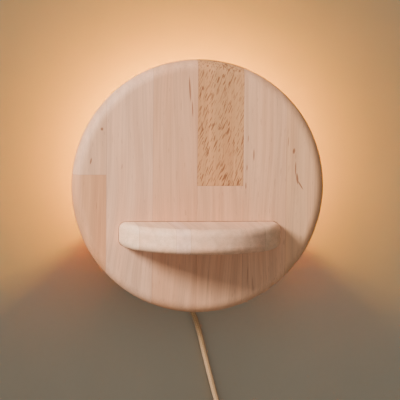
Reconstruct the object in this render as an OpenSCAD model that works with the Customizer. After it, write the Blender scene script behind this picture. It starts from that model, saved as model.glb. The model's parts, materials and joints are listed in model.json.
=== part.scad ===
// Wall lamp with a half-moon shelf.
// A round glued-stave panel stands off the wall. A half-round shelf board passes through a slot in
// it, and a rail along the board's rear edge meets the wall and holds the keyhole plates. A bulb
// standing on the board behind the panel lights the wall.
// Millimetres. The wall is the plane y = 0, the room is towards -Y, and +Z is up.
// The origin is midway between the two keyholes, on the wall.

/* [Panel] */
// Diameter of the round panel
panel_d = 280; // [260:1:300]
// Thickness of the panel
panel_t = 27; // [24:1:30]
// Radius of the panel's front edge
panel_front_r = 12; // [8:0.5:13]
// Radius of the panel's back edge
panel_back_r = 8; // [4:0.5:10]
// Distance from the wall to the panel's back
wall_gap = 54; // [52:1:60]

/* [Shelf] */
// Width of the shelf board, and twice its reach from the panel
shelf_w = 178; // [160:1:190]
// Thickness of the shelf board
shelf_t = 27; // [26:1:30]
// How far the shelf's top lies below the panel's centre
shelf_drop = 38; // [30:1:45]
// Radius of the shelf's long edges
shelf_r = 8; // [5:0.5:9]
// Gap all round the board in the panel's slot
slot_gap = 0.5; // [0.3:0.1:1]

/* [Wall fixing] */
// Distance between the two keyholes
key_spacing = 120; // [100:1:130]
// Diameter of a keyhole's entry, for the screw's head
key_entry_d = 9; // [8:0.5:10]
// Width of a keyhole's slot, for the screw's shank
key_slot_w = 4.6; // [4:0.1:5]
// Height of the screw's seat above the entry
key_rise = 7; // [6:0.5:7]

/* [Lampholder and bulb] */
// Depth of the round recess that the lampholder stands in
recess_depth = 19; // [16:0.5:20]
// Height of the lampholder
holder_h = 40; // [38:1:44]
// Outer radius of the lampholder
holder_r = 14; // [13.5:0.1:14.5]
// Diameter of the bulb's dome
bulb_d = 45; // [44:0.5:46]

/* [Cord] */
// Diameter of the textile cord
cord_d = 6; // [5.6:0.1:6.2]
// Distance from one turn of the coil to the next
turn_pitch = 6.7; // [6.6:0.1:7]
// Radius of the coil's outermost turn
coil_outer_r = 47.5; // [47:0.5:50]
// Rings in each turn of the coil
rings_per_turn = 24; // [24:1:24]

/* [Switch] */
// Angle that the rocker tips to either side of level
rocker_tip = 8; // [6:0.5:8]

/* [Hidden] */
$fn = 64;

// Overlap of a cut past the face that it opens
eps = 0.5;

// Heights of the board and the panel
board_mid_z = 3;
board_top = board_mid_z + shelf_t / 2;
board_bottom = board_mid_z - shelf_t / 2;
panel_z = board_top + shelf_drop;
panel_r = panel_d / 2;
panel_back_y = -wall_gap;
panel_front_y = -wall_gap - panel_t;

// Keyhole plates, let into the rail that is glued across the board's rear edge
rail_d = 11;
plate_l = 44;
plate_h = 20;
plate_t = 2;
plate_screw_x = 16;
plate_fit = 0.25;
pocket_w = 13;
pocket_h = 18;
pocket_d = 8;

// Steel angles between the panel and the board
angle_x = 58;
angle_w = 16;
angle_leg = 34;
angle_t = 2;
angle_holes = [12, 26];
wood_screw_r = 1.7;
wood_screw_l = 15;
pilot_r = 1.8;

// Block under the board that meets the wall and guides the cord
spacer_w = 44;
spacer_h = 14;
spacer_bottom = panel_z - panel_r + 10.5;
spacer_mid_z = spacer_bottom + spacer_h / 2;
spacer_pad_t = 1.5;
spacer_back_y = -spacer_pad_t;
dowel_x = 12;
dowel_r = 4;
dowel_reach = 12;
pad_x = 17.5;
pad_r = 4;
groove_y = -6.5;
groove_r = cord_d / 2 + 0.4;
strap_l = 24;
strap_h = 8;
strap_t = 1;
strap_back_y = spacer_back_y - 0.4;
strap_screw_x = 8.2;
strap_screw_r = 1.25;

// Lampholder: its heights are counted from the floor of the recess
bulb_y = -wall_gap / 2;
recess_r = holder_r + 1.5;
recess_floor = board_top - recess_depth;
cap_h = 14;
holder_wall = 1.8;
lip_r = 8.7;
holder_step_w = 1;
core_floor_h = 9;
core_well_h = 13;
core_well_r = 6.5;
core_top_h = 24;
core_r = holder_r - holder_wall - 0.3;
core_bore_r = 8.6;
contact_w = 4;
contact_t = 0.5;
contact_rise = 2.9;
shell_bottom_h = 17;
shell_top_h = 36;
shell_r = 7.9;
thread_pitch = 2.822;
thread_depth = 0.45;
nipple_r = 5;
nipple_bore_r = 3.7;
nipple_top_h = 4;
washer_t = 1.2;
washer_r = 9;
nut_h = 3;
nut_af = 14;
bush_h = 1.5;
bush_skirt = 1.8;
nut_low_z = board_bottom - washer_t - nut_h;
nipple_bottom = nut_low_z - 2.2;
terminal_x = 8;
terminal_h = 4;
wire_hole_h = core_floor_h - 2;
wire_r = 0.7;

// Bulb: its heights are counted from its tip
bulb_rim_b = 24;
bulb_base_z = recess_floor + holder_h - bulb_rim_b;
dome_r = bulb_d / 2;
dome_b = 53.5;
dome_cut_b = 38.5;
dome_wall = 1;
led_board_b = 36.8;
dome_cut_r = sqrt(dome_r * dome_r - (dome_b - dome_cut_b) * (dome_b - dome_cut_b));
bulb_cap_r = 6.9;
bulb_cap_wall = 0.45;
bulb_cap_low_b = 4.4;
bulb_cap_high_b = 22.5;

// The cord from its place in the lampholder to the foot of the spacer
lead_top_z = recess_floor + 6;
lead_bottom_z = spacer_bottom;
lead_route = [
  [0, bulb_y, lead_top_z], [0, bulb_y, -4], [0, bulb_y, -12], [0, bulb_y, -18], [0, -26.3, -24],
  [0, -24.3, -30], [0, -21.1, -35.5], [0, -16.8, -40], [0, -12.4, -44.5], [0, -9.2, -50],
  [0, -7.2, -56], [0, groove_y, -62], [0, groove_y, -68.5], [0, groove_y, lead_bottom_z]
];

// The free cord from the spacer to the switch
switch_x = 40;
switch_y = -12.5;
switch_top_z = -232;
drop_route = [
  [0, groove_y, lead_bottom_z], [0, groove_y, -81], [1, -6.2, -87.5], [4.2, -5.6, -96],
  [8, -5, -105.5], [11.6, -4.3, -116.5], [14.8, -3.8, -128.5], [17.8, -3.6, -141], [21.2, -3.6, -154],
  [24.6, -3.6, -167], [28, -3.8, -180], [31.2, -4.4, -192], [34.4, -5.9, -203.5], [37.4, -8.4, -213.5],
  [39.3, -11.2, -220.5], [switch_x, switch_y, -226], [switch_x, switch_y, switch_top_z]
];

// Inline switch, in its own frame: X along the cord, Z towards the room
switch_l = 58;
switch_w = 24;
switch_t = 18;
switch_wall = 1.8;
switch_corner_r = 9;
switch_mid_z = switch_top_z - switch_l / 2;
entry_r = 3.1;
rocker_l = 20.8;
rocker_w = 10.2;
rocker_open_l = 23.4;
rocker_open_w = 11;
rocker_pivot = 5.5;
rocker_low = 2.6;
rocker_high = 10;
axle_r = 1.5;
axle_gap = 0.06;
axle_l = 15.4;
cheek_t = 2;
lever_pivot = -1.8;
lever_l = 18;
lever_w = 5;
lever_t = 0.8;
knuckle_r = 1;
knuckle_gap = 0.08;
plunger_r = 1.2;
plunger_tip = -1.25;
plunger_top = 5.2;
plunger_hole_top = 7;
boss_x = 21;
boss_y = 7;
boss_r = 2.8;
case_screw_r = 1.2;
case_floor_z = -switch_t / 2 + switch_wall;
post_h = 4.6;
post_l = 2.6;
terminal_block = 6;
contact_x = 14;
contact_z = -3.7;
switch_wire_z = -4.6;
switch_wire_r = 0.8;
// Routes of the wires inside the switch, in its own frame; the last is straight through
switched_wire_route = [
  [-27.1, -0.9, -0.3], [-25.5, -0.9, -0.4], [-22.5, -0.6, -1.6], [-20, -0.2, -3.4], [-18, 0, switch_wire_z],
  [-16, 0, switch_wire_z]
];
through_wire_route = [
  [-27.1, 1.1, 0.3], [-25.5, 1.2, 0.2], [-23, 2, -0.2], [-19, 4.2, -1.4], [-14, 7, -2.8], [-9, 8.4, -3.5],
  [9, 8.4, -3.5], [14, 7, -2.8], [19, 4.2, -1.4], [23, 2, -0.2], [25.5, 1.2, 0.2], [27.1, 1.1, 0.3]
];

// The coil hangs below the switch with its axis along Y. The cord bends out over it first.
turns_total = 7;
climb_turns = 0.5;
lead_in_r = 28;
join_r = coil_outer_r + 0.19 * turn_pitch;
join_angle = acos(lead_in_r / (lead_in_r + join_r));
switch_bottom_z = switch_top_z - switch_l;
lead_in_z = switch_bottom_z - cord_d;
coil_x = switch_x;
coil_z = lead_in_z - (lead_in_r + join_r) * sin(join_angle);
coil_front_y = switch_y;
coil_back_y = coil_front_y + turn_pitch;

// The plug hangs from the coil's outermost turn
plug_x = coil_x + coil_outer_r + 8;
plug_y = -9;
tail_straight = 4;
tail_bend_l = 30;
tail_end_z = coil_z - tail_straight - tail_bend_l - cord_d;
sleeve_l = 18;
plug_l = 36;
plug_w = 35.3;
plug_t = 13.7;
pin_r = 2;
pin_l = 19;
pin_spacing = 18.6;
plug_top_z = tail_end_z - sleeve_l;
plug_bottom_z = plug_top_z - plug_l;

wood = "burlywood";
steel = "silver";
brass = "goldenrod";
textile = "tan";
white_plastic = "whitesmoke";
black_plastic = "dimgray";

// ---- shared shapes ----

// A flat rounded rectangle about the origin, w by h
module round_rect(w, h, r) {
  square([w - 2 * r, h], center = true);
  square([w, h - 2 * r], center = true);
  for (x = [-1, 1], y = [-1, 1])
    translate([x * (w / 2 - r), y * (h / 2 - r)]) circle(r);
}

// A flat outline extruded along Y, from y0 to y1; the outline's X and Y become X and Z
module along_y(y0, y1) {
  translate([0, y1, 0]) rotate([90, 0, 0]) linear_extrude(y1 - y0) children();
}

// A round bar along Y, from y0 to y1
module bar_y(x, z, r, y0, y1) {
  translate([x, y1, z]) rotate([90, 0, 0]) cylinder(h = y1 - y0, r = r);
}

// A ring or tube along Z
module tube_z(r_out, r_in, z0, z1) {
  difference() {
    translate([0, 0, z0]) cylinder(h = z1 - z0, r = r_out);
    translate([0, 0, z0 - eps]) cylinder(h = z1 - z0 + 2 * eps, r = r_in);
  }
}

// A screw along Z with its head's underside at z = 0 and its shank going down
module screw(shank_r, shank_l, head_r, head_h, countersunk = false) {
  cross_w = 0.35 * head_r;
  difference() {
    union() {
      if (countersunk)
        translate([0, 0, -head_h]) cylinder(h = head_h, r1 = shank_r, r2 = head_r);
      else
        cylinder(h = head_h, r1 = head_r, r2 = 0.75 * head_r);
      translate([0, 0, 1.5 * shank_r - shank_l])
        cylinder(h = shank_l - 1.5 * shank_r + (countersunk ? -head_h / 2 : 0.01), r = shank_r);
      translate([0, 0, -shank_l]) cylinder(h = 1.5 * shank_r, r1 = 0.2, r2 = shank_r);
    }
    for (a = [0, 90]) rotate([0, 0, a])
      translate([-0.6 * head_r, -cross_w / 2, (countersunk ? 0 : head_h) - 0.9])
        cube([1.2 * head_r, cross_w, 1.5]);
  }
}

function unit(v) = v / norm(v);
function tangent(path, i) = unit(path[min(i + 1, len(path) - 1)] - path[max(i - 1, 0)]);
// One ring of the tube round point i, square to the path; side is a direction the path never takes
function tube_ring(path, i, r, sides, side) =
  let (t = tangent(path, i), u = unit(cross(t, side)), v = cross(t, u))
    [for (k = [0:sides - 1]) path[i] + r * (cos(360 * k / sides) * u + sin(360 * k / sides) * v)];

// A tube swept along a path
module sweep(path, r, sides, side) {
  last = len(path) - 1;
  points = [for (i = [0:last]) each tube_ring(path, i, r, sides, side)];
  walls = [
    for (i = [0:last - 1], k = [0:sides - 1])
      let (a = i * sides + k, b = i * sides + (k + 1) % sides) each [
        [a, b + sides, b],
        [a, a + sides, b + sides]
      ]
  ];
  end = last * sides;
  caps = [for (k = [1:sides - 2]) each [[0, k, k + 1], [end, end + k + 1, end + k]]];
  polyhedron(points = points, faces = concat(walls, caps), convexity = 10);
}

// ---- wooden pieces ----

module panel_profile() {
  back = -panel_back_y;
  front = -panel_front_y;
  translate([0, back]) square([panel_r - panel_front_r, panel_t]);
  translate([0, back + panel_back_r]) square([panel_r, panel_t - panel_back_r - panel_front_r]);
  translate([0, back]) square([panel_r - panel_back_r, panel_back_r]);
  intersection() {
    translate([panel_r - panel_back_r, back + panel_back_r]) circle(panel_back_r);
    translate([0, back]) square([panel_r, panel_back_r]);
  }
  translate([panel_r - panel_front_r, front - panel_front_r]) circle(panel_front_r);
}

module front_panel() {
  color(wood) difference() {
    translate([0, 0, panel_z]) rotate([90, 0, 0]) rotate_extrude($fn = 180) panel_profile();
    translate([0, 0, board_mid_z]) along_y(panel_front_y - eps, panel_back_y + eps)
      round_rect(shelf_w + 2 * slot_gap, shelf_t + 2 * slot_gap, shelf_r + slot_gap);
    for (x = [-angle_x, angle_x], d = angle_holes)
      bar_y(x, board_bottom - d, pilot_r, panel_back_y - wood_screw_l, panel_back_y + eps);
    for (x = [-dowel_x, dowel_x])
      bar_y(x, spacer_mid_z, dowel_r + 0.1, panel_back_y - dowel_reach - 0.5, panel_back_y + eps);
  }
}

// Half of the board's section, for the half-moon in front of the panel
module shelf_half_section() {
  half = shelf_w / 2;
  translate([0, -shelf_t / 2]) square([half - shelf_r, shelf_t]);
  translate([0, shelf_r - shelf_t / 2]) square([half, shelf_t - 2 * shelf_r]);
  for (z = [-1, 1]) translate([half - shelf_r, z * (shelf_t / 2 - shelf_r)]) circle(shelf_r);
}

// Holes for the screws of the keyhole plates, through the rail into the board
module plate_pilots() {
  for (x = [-key_spacing / 2, key_spacing / 2], s = [-plate_screw_x, plate_screw_x])
    bar_y(x + s, board_mid_z, 1.6, -17, eps);
}

module shelf_board() {
  color("wheat") difference() {
    translate([0, 0, board_mid_z]) union() {
      along_y(panel_front_y, -rail_d) round_rect(shelf_w, shelf_t, shelf_r);
      difference() {
        translate([0, panel_front_y, 0]) rotate_extrude($fn = 180) shelf_half_section();
        translate([-shelf_w, panel_front_y, -shelf_t]) cube([2 * shelf_w, shelf_w, 2 * shelf_t]);
      }
    }
    translate([0, bulb_y, recess_floor]) cylinder(h = recess_depth + eps, r = recess_r);
    translate([0, bulb_y, board_bottom - eps]) cylinder(h = shelf_t, r = nipple_r + 0.25);
    plate_pilots();
    for (x = [-angle_x, angle_x], d = angle_holes)
      translate([x, panel_back_y + d, board_bottom - eps]) cylinder(h = wood_screw_l + eps, r = pilot_r);
  }
}

module hanger_rail() {
  color("wheat") difference() {
    translate([0, 0, board_mid_z]) along_y(-rail_d, 0) round_rect(shelf_w, shelf_t, shelf_r);
    for (x = [-key_spacing / 2, key_spacing / 2]) translate([x, 0, board_mid_z]) {
      along_y(-plate_t, eps) round_rect(plate_l + 2 * plate_fit, plate_h + 2 * plate_fit, 4 + plate_fit);
      along_y(-pocket_d, -plate_t + 0.01) round_rect(pocket_w, pocket_h, 3);
    }
    plate_pilots();
  }
}

module lower_spacer() {
  color(wood) difference() {
    translate([0, 0, spacer_mid_z]) along_y(panel_back_y, spacer_back_y)
      round_rect(spacer_w, spacer_h, 3);
    // groove for the cord, open towards the wall
    translate([0, groove_y, spacer_bottom - eps]) cylinder(h = spacer_h + 2 * eps, r = groove_r);
    translate([-groove_r, groove_y, spacer_bottom - eps]) cube([2 * groove_r, -groove_y, spacer_h + 2 * eps]);
    translate([0, 0, spacer_mid_z]) along_y(strap_back_y - strap_t, 0)
      round_rect(strap_l + 0.4, strap_h + 0.4, 1.5);
    for (x = [-strap_screw_x, strap_screw_x])
      bar_y(x, spacer_mid_z, strap_screw_r + 0.1, -14, 0);
    for (x = [-dowel_x, dowel_x])
      bar_y(x, spacer_mid_z, dowel_r + 0.1, panel_back_y - eps, panel_back_y + dowel_reach + 0.5);
  }
}

module spacer_dowels() {
  color("tan") for (x = [-dowel_x, dowel_x])
    bar_y(x, spacer_mid_z, dowel_r, panel_back_y - dowel_reach, panel_back_y + dowel_reach);
}

// ---- fixings ----

module angle_brackets() {
  color(steel) for (x = [-angle_x, angle_x]) difference() {
    translate([x - angle_w / 2, panel_back_y, board_bottom]) union() {
      translate([0, 0, -angle_t]) cube([angle_w, angle_leg, angle_t]);
      translate([0, 0, -angle_leg]) cube([angle_w, angle_t, angle_leg]);
      difference() {
        translate([0, angle_t, -angle_t - 2]) cube([angle_w, 2, 2]);
        translate([-eps, angle_t + 2, -angle_t - 2]) rotate([0, 90, 0])
          cylinder(h = angle_w + 2 * eps, r = 2);
      }
    }
    for (d = angle_holes) {
      translate([x, panel_back_y + d, board_bottom - angle_t - eps]) cylinder(h = angle_t + 2 * eps, r = 2.2);
      bar_y(x, board_bottom - d, 2.2, panel_back_y - eps, panel_back_y + angle_t + eps);
    }
  }
}

module bracket_screws() {
  color("gainsboro") for (x = [-angle_x, angle_x], d = angle_holes) {
    translate([x, panel_back_y + d, board_bottom - angle_t]) rotate([180, 0, 0])
      screw(wood_screw_r, wood_screw_l, 3.4, 2.2);
    translate([x, panel_back_y + angle_t, board_bottom - d]) rotate([-90, 0, 0])
      screw(wood_screw_r, wood_screw_l, 3.4, 2.2);
  }
}

module keyhole_plates() {
  color(steel) for (x = [-key_spacing / 2, key_spacing / 2]) translate([x, 0, 0]) difference() {
    translate([0, 0, board_mid_z]) along_y(-plate_t, 0) round_rect(plate_l, plate_h, 4);
    bar_y(0, 0, key_entry_d / 2, -plate_t - eps, eps);
    bar_y(0, key_rise, key_slot_w / 2, -plate_t - eps, eps);
    translate([-key_slot_w / 2, -plate_t - eps, 0]) cube([key_slot_w, plate_t + 2 * eps, key_rise]);
    for (s = [-plate_screw_x, plate_screw_x]) {
      bar_y(s, board_mid_z, 1.7, -plate_t - eps, eps);
      translate([s, -1.5, board_mid_z]) rotate([-90, 0, 0]) cylinder(h = 1.52, r1 = 1.7, r2 = 3.22);
    }
  }
}

module keyhole_screws() {
  color("gainsboro") for (x = [-key_spacing / 2, key_spacing / 2], s = [-plate_screw_x, plate_screw_x])
    translate([x + s, 0, board_mid_z]) rotate([-90, 0, 0]) screw(1.5, 16, 3, 1.5, countersunk = true);
}

module wall_pads() {
  color("gray") for (x = [-pad_x, pad_x])
    bar_y(x, spacer_mid_z, pad_r, spacer_back_y, 0);
}

module cord_saddle() {
  color(steel) difference() {
    translate([0, 0, spacer_mid_z]) along_y(strap_back_y - strap_t, strap_back_y)
      round_rect(strap_l, strap_h, 1.5);
    for (x = [-strap_screw_x, strap_screw_x])
      bar_y(x, spacer_mid_z, 1.5, -5, 0);
  }
}

module saddle_screws() {
  color("gainsboro") for (x = [-strap_screw_x, strap_screw_x])
    translate([x, strap_back_y, spacer_mid_z]) rotate([-90, 0, 0])
      screw(strap_screw_r, 11, 2.3, 1.2);
}

// ---- lampholder, standing in the board's recess ----

module at_holder() {
  translate([0, bulb_y, recess_floor]) children();
}

module holder_cap() {
  wall_r = holder_r - holder_wall;
  hub_r = nipple_r + 2;
  color(black_plastic) at_holder() rotate_extrude() polygon([
    [nipple_r + 0.05, 0], [10.5, 0], [12.6, 1.2], [holder_r, 4], [holder_r, cap_h],
    [wall_r, cap_h], [wall_r, core_floor_h], [wall_r - holder_step_w, core_floor_h],
    [wall_r - holder_step_w, 5.5], [10, 2.6], [hub_r, 2.2], [hub_r, nipple_top_h],
    [nipple_r + 0.05, nipple_top_h]
  ]);
}

module holder_body() {
  ribs = 4;
  rib_pitch = 3.6;
  wall_r = holder_r - holder_wall;
  color(black_plastic) at_holder() rotate_extrude() polygon([
    [wall_r, cap_h], [holder_r, cap_h],
    for (i = [0:ribs - 1]) each [
      [holder_r, 18 + rib_pitch * i], [holder_r - 0.7, 18.8 + rib_pitch * i],
      [holder_r - 0.7, 20.4 + rib_pitch * i], [holder_r, 21.2 + rib_pitch * i]
    ],
    [holder_r, holder_h - 3], [holder_r - 1.5, holder_h], [lip_r, holder_h], [lip_r, holder_h - 2],
    [wall_r - 0.4, holder_h - 2.4], [wall_r - 0.4, core_top_h + 0.2], [wall_r, core_top_h + 0.2]
  ]);
}

module holder_core() {
  color("ivory") at_holder() difference() {
    translate([0, 0, core_floor_h]) cylinder(h = core_top_h - core_floor_h, r = core_r);
    translate([0, 0, core_well_h]) cylinder(h = core_top_h, r = core_well_r);
    translate([0, 0, shell_bottom_h]) cylinder(h = core_top_h, r = core_bore_r);
    // channel for the two contact strips, and holes for their rivets
    translate([-10, -contact_w / 2 - 0.3, core_well_h])
      cube([20, contact_w + 0.6, shell_bottom_h - core_well_h + 0.01]);
    for (x = [-terminal_x, terminal_x]) translate([x, 0, core_floor_h - eps]) cylinder(h = 5, r = 1.3);
  }
}

// Points of a round thread's outline along Z, as [radius, height]
function thread_wave(r, depth, z0, z1) = [
  for (i = [0:ceil((z1 - z0) / thread_pitch * 6)])
    let (z = min(z1, z0 + i * thread_pitch / 6)) [r - depth * (1 - cos(360 * (z - z0) / thread_pitch)) / 2, z]
];
function reversed(list) = [for (i = [len(list) - 1:-1:0]) list[i]];

module screw_shell() {
  color(brass) at_holder() rotate_extrude() polygon(concat(
    thread_wave(shell_r + 0.45, thread_depth, shell_bottom_h, shell_top_h),
    reversed(thread_wave(shell_r, thread_depth, shell_bottom_h, shell_top_h))
  ));
}

module centre_contact() {
  low = core_well_h;
  high = low + contact_rise;
  color(brass) at_holder() along_y(-contact_w / 2, contact_w / 2) polygon([
    [9.6, low], [9.6, low + contact_t], [-4.4, low + contact_t], [-0.9, high - contact_t],
    [2.4, high - contact_t], [2.4, high], [-1.1, high], [-5.5, low + contact_t + 0.2], [-5.5, low]
  ]);
}

module side_contact() {
  low = core_well_h;
  color(brass) at_holder() along_y(-contact_w / 2, contact_w / 2) polygon([
    [-9.6, low], [-6.4, low], [-6.4, low + contact_t], [-7.8, low + contact_t],
    [-7.8, shell_bottom_h], [-8.35, shell_bottom_h], [-8.35, low + contact_t], [-9.6, low + contact_t]
  ]);
}

module contact_rivets() {
  color(brass) at_holder() for (x = [-terminal_x, terminal_x])
    translate([x, 0, core_floor_h]) cylinder(h = core_well_h - core_floor_h, r = 1.2);
}

module holder_terminals() {
  color(brass) at_holder() for (x = [-terminal_x, terminal_x]) difference() {
    translate([x - 2, -3, core_floor_h - terminal_h]) cube([4, 6, terminal_h]);
    translate([x, 0, core_floor_h - terminal_h - eps]) cylinder(h = terminal_h - 2 + eps, r = 1.1);
    bar_y(x, wire_hole_h, wire_r + 0.05, -4, 4);
  }
}

module terminal_screws() {
  low = core_floor_h - terminal_h - 0.8;
  color(steel) at_holder() for (x = [-terminal_x, terminal_x]) difference() {
    translate([x, 0, low]) cylinder(h = wire_hole_h - wire_r - low, r = 1);
    translate([x - 1.2, -0.25, low - eps]) cube([2.4, 0.5, eps + 0.6]);
  }
}

module holder_nipple() {
  color(steel) translate([0, bulb_y, 0])
    tube_z(nipple_r, nipple_bore_r, nipple_bottom, recess_floor + nipple_top_h);
}

module nipple_washer() {
  color(steel) translate([0, bulb_y, board_bottom - washer_t]) tube_z(washer_r, nipple_r + 0.2, 0, washer_t);
}

module nipple_nut() {
  color(steel) translate([0, bulb_y, nut_low_z]) difference() {
    cylinder(h = nut_h, r = nut_af / 2 / cos(30), $fn = 6);
    translate([0, 0, -eps]) cylinder(h = nut_h + 2 * eps, r = nipple_r + 0.05);
  }
}

module nipple_bush() {
  bore_r = cord_d / 2 + 0.3;
  color(black_plastic) translate([0, bulb_y, nipple_bottom]) rotate_extrude() polygon([
    [bore_r, 0], [nipple_r, 0], [nipple_r, bush_skirt], [nipple_r + 0.9, bush_skirt],
    [nipple_r + 0.9, -bush_h + 0.8], [nipple_r + 0.1, -bush_h], [bore_r + 0.5, -bush_h], [bore_r, -bush_h + 0.5]
  ]);
}

module lead_wires() {
  start = lead_top_z - recess_floor;
  color("saddlebrown") at_holder() for (s = [-1, 1])
    sweep([
      [s * 1.4, 0, start], [s * 1.4, 0, start + 0.5], [s * 1.7, -0.2, start + 1.1], [s * 2.8, -1.1, start + 1.8],
      [s * 4.4, -2.8, start + 2], [s * 6.4, -4.7, start + 1.5], [s * terminal_x, -5.2, wire_hole_h],
      [s * terminal_x, -3.6, wire_hole_h], [s * terminal_x, -0.5, wire_hole_h]
    ], wire_r, 8, [s * 0.5, 0.5, -0.7]);
}

// ---- bulb ----

module at_bulb() {
  translate([0, bulb_y, bulb_base_z]) children();
}

module bulb_dome() {
  color("white") at_bulb() rotate_extrude() difference() {
    intersection() {
      translate([0, dome_b]) circle(dome_r, $fn = 96);
      translate([0, dome_cut_b]) square([dome_r + 1, 2 * dome_r]);
    }
    translate([0, dome_b]) circle(dome_r - dome_wall, $fn = 96);
  }
}

module bulb_collar() {
  color(white_plastic) at_bulb() rotate_extrude() polygon([
    [bulb_cap_r - 0.7, bulb_cap_high_b], [7.2, bulb_cap_high_b], [7.2, bulb_rim_b + 0.5],
    [9.6, bulb_rim_b + 1.4], [12.6, 29.5], [15.2, 34], [dome_cut_r, dome_cut_b],
    [dome_cut_r - 1.4, dome_cut_b], [14.7, led_board_b], [12.8, led_board_b], [12.8, led_board_b - 1.2],
    [13.4, 34.4], [11.2, 30.2], [8.4, bulb_rim_b + 2.6],
    [bulb_cap_r - 0.7, bulb_rim_b + 1.4]
  ]);
}

module led_board() {
  color("white") at_bulb() {
    translate([0, 0, led_board_b]) cylinder(h = 1.2, r = 13.5);
    for (a = [0:60:300]) rotate([0, 0, a]) translate([8 - 1.4, -1.75, led_board_b + 1.2]) cube([2.8, 3.5, 0.8]);
  }
}

module driver_board() {
  color("green") at_bulb() {
    translate([-4.2, -0.6, 20]) cube([8.4, 1.2, led_board_b - 20]);
    translate([0, 0.6, 29]) rotate([-90, 0, 0]) cylinder(h = 4, r = 2.5);
  }
}

module bulb_cap() {
  color(steel) at_bulb() rotate_extrude() polygon(concat(
    thread_wave(bulb_cap_r, thread_depth, bulb_cap_low_b, bulb_cap_high_b),
    reversed(thread_wave(bulb_cap_r - bulb_cap_wall, thread_depth, bulb_cap_low_b, bulb_cap_high_b))
  ));
}

module bulb_insulator() {
  color("black") at_bulb() rotate_extrude() polygon([
    [0, 1.6], [2.6, 1.6], [5.2, 3.4], [5.8, bulb_cap_low_b], [5.8, 5.4], [0, 5.4]
  ]);
}

module bulb_tip() {
  color(steel) at_bulb() rotate_extrude() polygon([
    [0, 0], [1.2, 0], [2, 0.5], [2.2, 1.1], [2.2, 1.6], [0, 1.6]
  ]);
}

// ---- cord ----

module lead_cord() {
  color(textile) sweep(lead_route, cord_d / 2, 12, [1, 0, 0]);
}

module cord_drop() {
  color(textile) sweep(drop_route, cord_d / 2, 12, [1, 0, 0]);
}

// Entry: straight down out of the switch, then an arc that meets the spiral from outside
entry_steps = 6;
entry_path = concat(
  [[switch_x, switch_y, switch_bottom_z]],
  [for (i = [0:entry_steps - 1])
    let (a = join_angle * i / entry_steps)
      [coil_x + lead_in_r * (1 - cos(a)), coil_front_y, lead_in_z - lead_in_r * sin(a)]]
);

// Turns: in towards the middle, back a layer in the half turn where the spiral reverses, and out again
function climb(t) = min(1, max(0, (t - (turns_total - climb_turns) / 2) / climb_turns));
function turn_point(t) =
  let (r = coil_outer_r - turn_pitch * min(t, turns_total - t), y = coil_front_y + turn_pitch * climb(t))
    [coil_x + r * cos(360 * t), y, coil_z - r * sin(360 * t)];
lead_in_rings = ceil(join_angle / 360 * rings_per_turn);
turn_path = concat(
  [for (i = [-lead_in_rings:-1]) turn_point(join_angle / 360 * i / lead_in_rings)],
  [for (i = [0:turns_total * rings_per_turn]) turn_point(i / rings_per_turn)]
);

// Two equal arcs from p, heading straight down, to q, heading straight down again
function s_bend(p, q, steps) =
  let (
    drop = p[2] - q[2], aside = [q[0] - p[0], q[1] - p[1], 0], d = norm(aside),
    r = (drop * drop + d * d) / (4 * d), whole = 2 * atan(d / drop)
  ) [
    for (i = [0:2 * steps])
      let (a = whole * min(i, 2 * steps - i) / steps, s = r * (1 - cos(a)), h = r * sin(a))
        i <= steps ? p + aside / d * s - [0, 0, h] : q - aside / d * s + [0, 0, h]
  ];

// Tail: from the last turn down and a little outwards to the plug
tail_steps = 3;
tail_path = concat(
  s_bend(
    [coil_x + coil_outer_r, coil_back_y, coil_z - tail_straight],
    [plug_x, plug_y, coil_z - tail_straight - tail_bend_l], tail_steps
  ),
  [[plug_x, plug_y, tail_end_z]]
);
coil_path = concat(entry_path, turn_path, tail_path);

// The least gap of the coiled cord to itself, between stretches more than half a turn apart
function near(i) = min([
  for (j = [i + rings_per_turn / 2:1:len(coil_path) - 2])
    let (a = coil_path[j], d = coil_path[j + 1] - a, s = max(0, min(1, (coil_path[i] - a) * d / (d * d))))
      norm(coil_path[i] - a - s * d)
]);
least_gap = min([for (i = [0:len(coil_path) - 2 - rings_per_turn]) near(i)]) - cord_d;
path_length = function(p) sum_of([for (i = [1:len(p) - 1]) norm(p[i] - p[i - 1])]);
function sum_of(list) = list * [for (i = [1:len(list)]) 1];
echo(least_gap_of_the_coil_mm = least_gap);
echo(
  cord_inside_mm = path_length(lead_route), cord_drop_mm = path_length(drop_route),
  cord_coil_mm = path_length(coil_path)
);

module cord_coil() {
  color(textile) sweep(coil_path, cord_d / 2, 6, [0, 1, 0]);
}

// Band round all the turns, at nine o'clock
module cord_tie() {
  tie_w = 11;
  tie_t = 1.2;
  inner_r = coil_outer_r - turn_pitch * turns_total / 2 - cord_d / 2 - 1.2;
  outer_r = coil_outer_r - turn_pitch / 2 + cord_d / 2 + 0.5;
  depth = coil_back_y - coil_front_y + cord_d + 0.8;
  middle = [coil_x - (inner_r + outer_r) / 2, (coil_front_y + coil_back_y) / 2, coil_z - tie_w / 2];
  color("peru") translate(middle) linear_extrude(tie_w) difference() {
    round_rect(outer_r - inner_r + 2 * tie_t, depth + 2 * tie_t, 3 + tie_t);
    round_rect(outer_r - inner_r, depth, 3);
  }
}

// ---- inline switch ----

module at_switch() {
  translate([switch_x, switch_y, switch_mid_z]) rotate([90, 90, 0]) children();
}

module switch_shell(z0, z1, floor_z0, floor_z1) {
  difference() {
    translate([0, 0, z0]) linear_extrude(z1 - z0) round_rect(switch_l, switch_w, switch_corner_r);
    translate([0, 0, floor_z0]) linear_extrude(floor_z1 - floor_z0)
      round_rect(switch_l - 2 * switch_wall, switch_w - 2 * switch_wall, switch_corner_r - switch_wall);
    rotate([0, 90, 0]) cylinder(h = switch_l + 2, r = entry_r - 0.4, center = true);
  }
}

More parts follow.
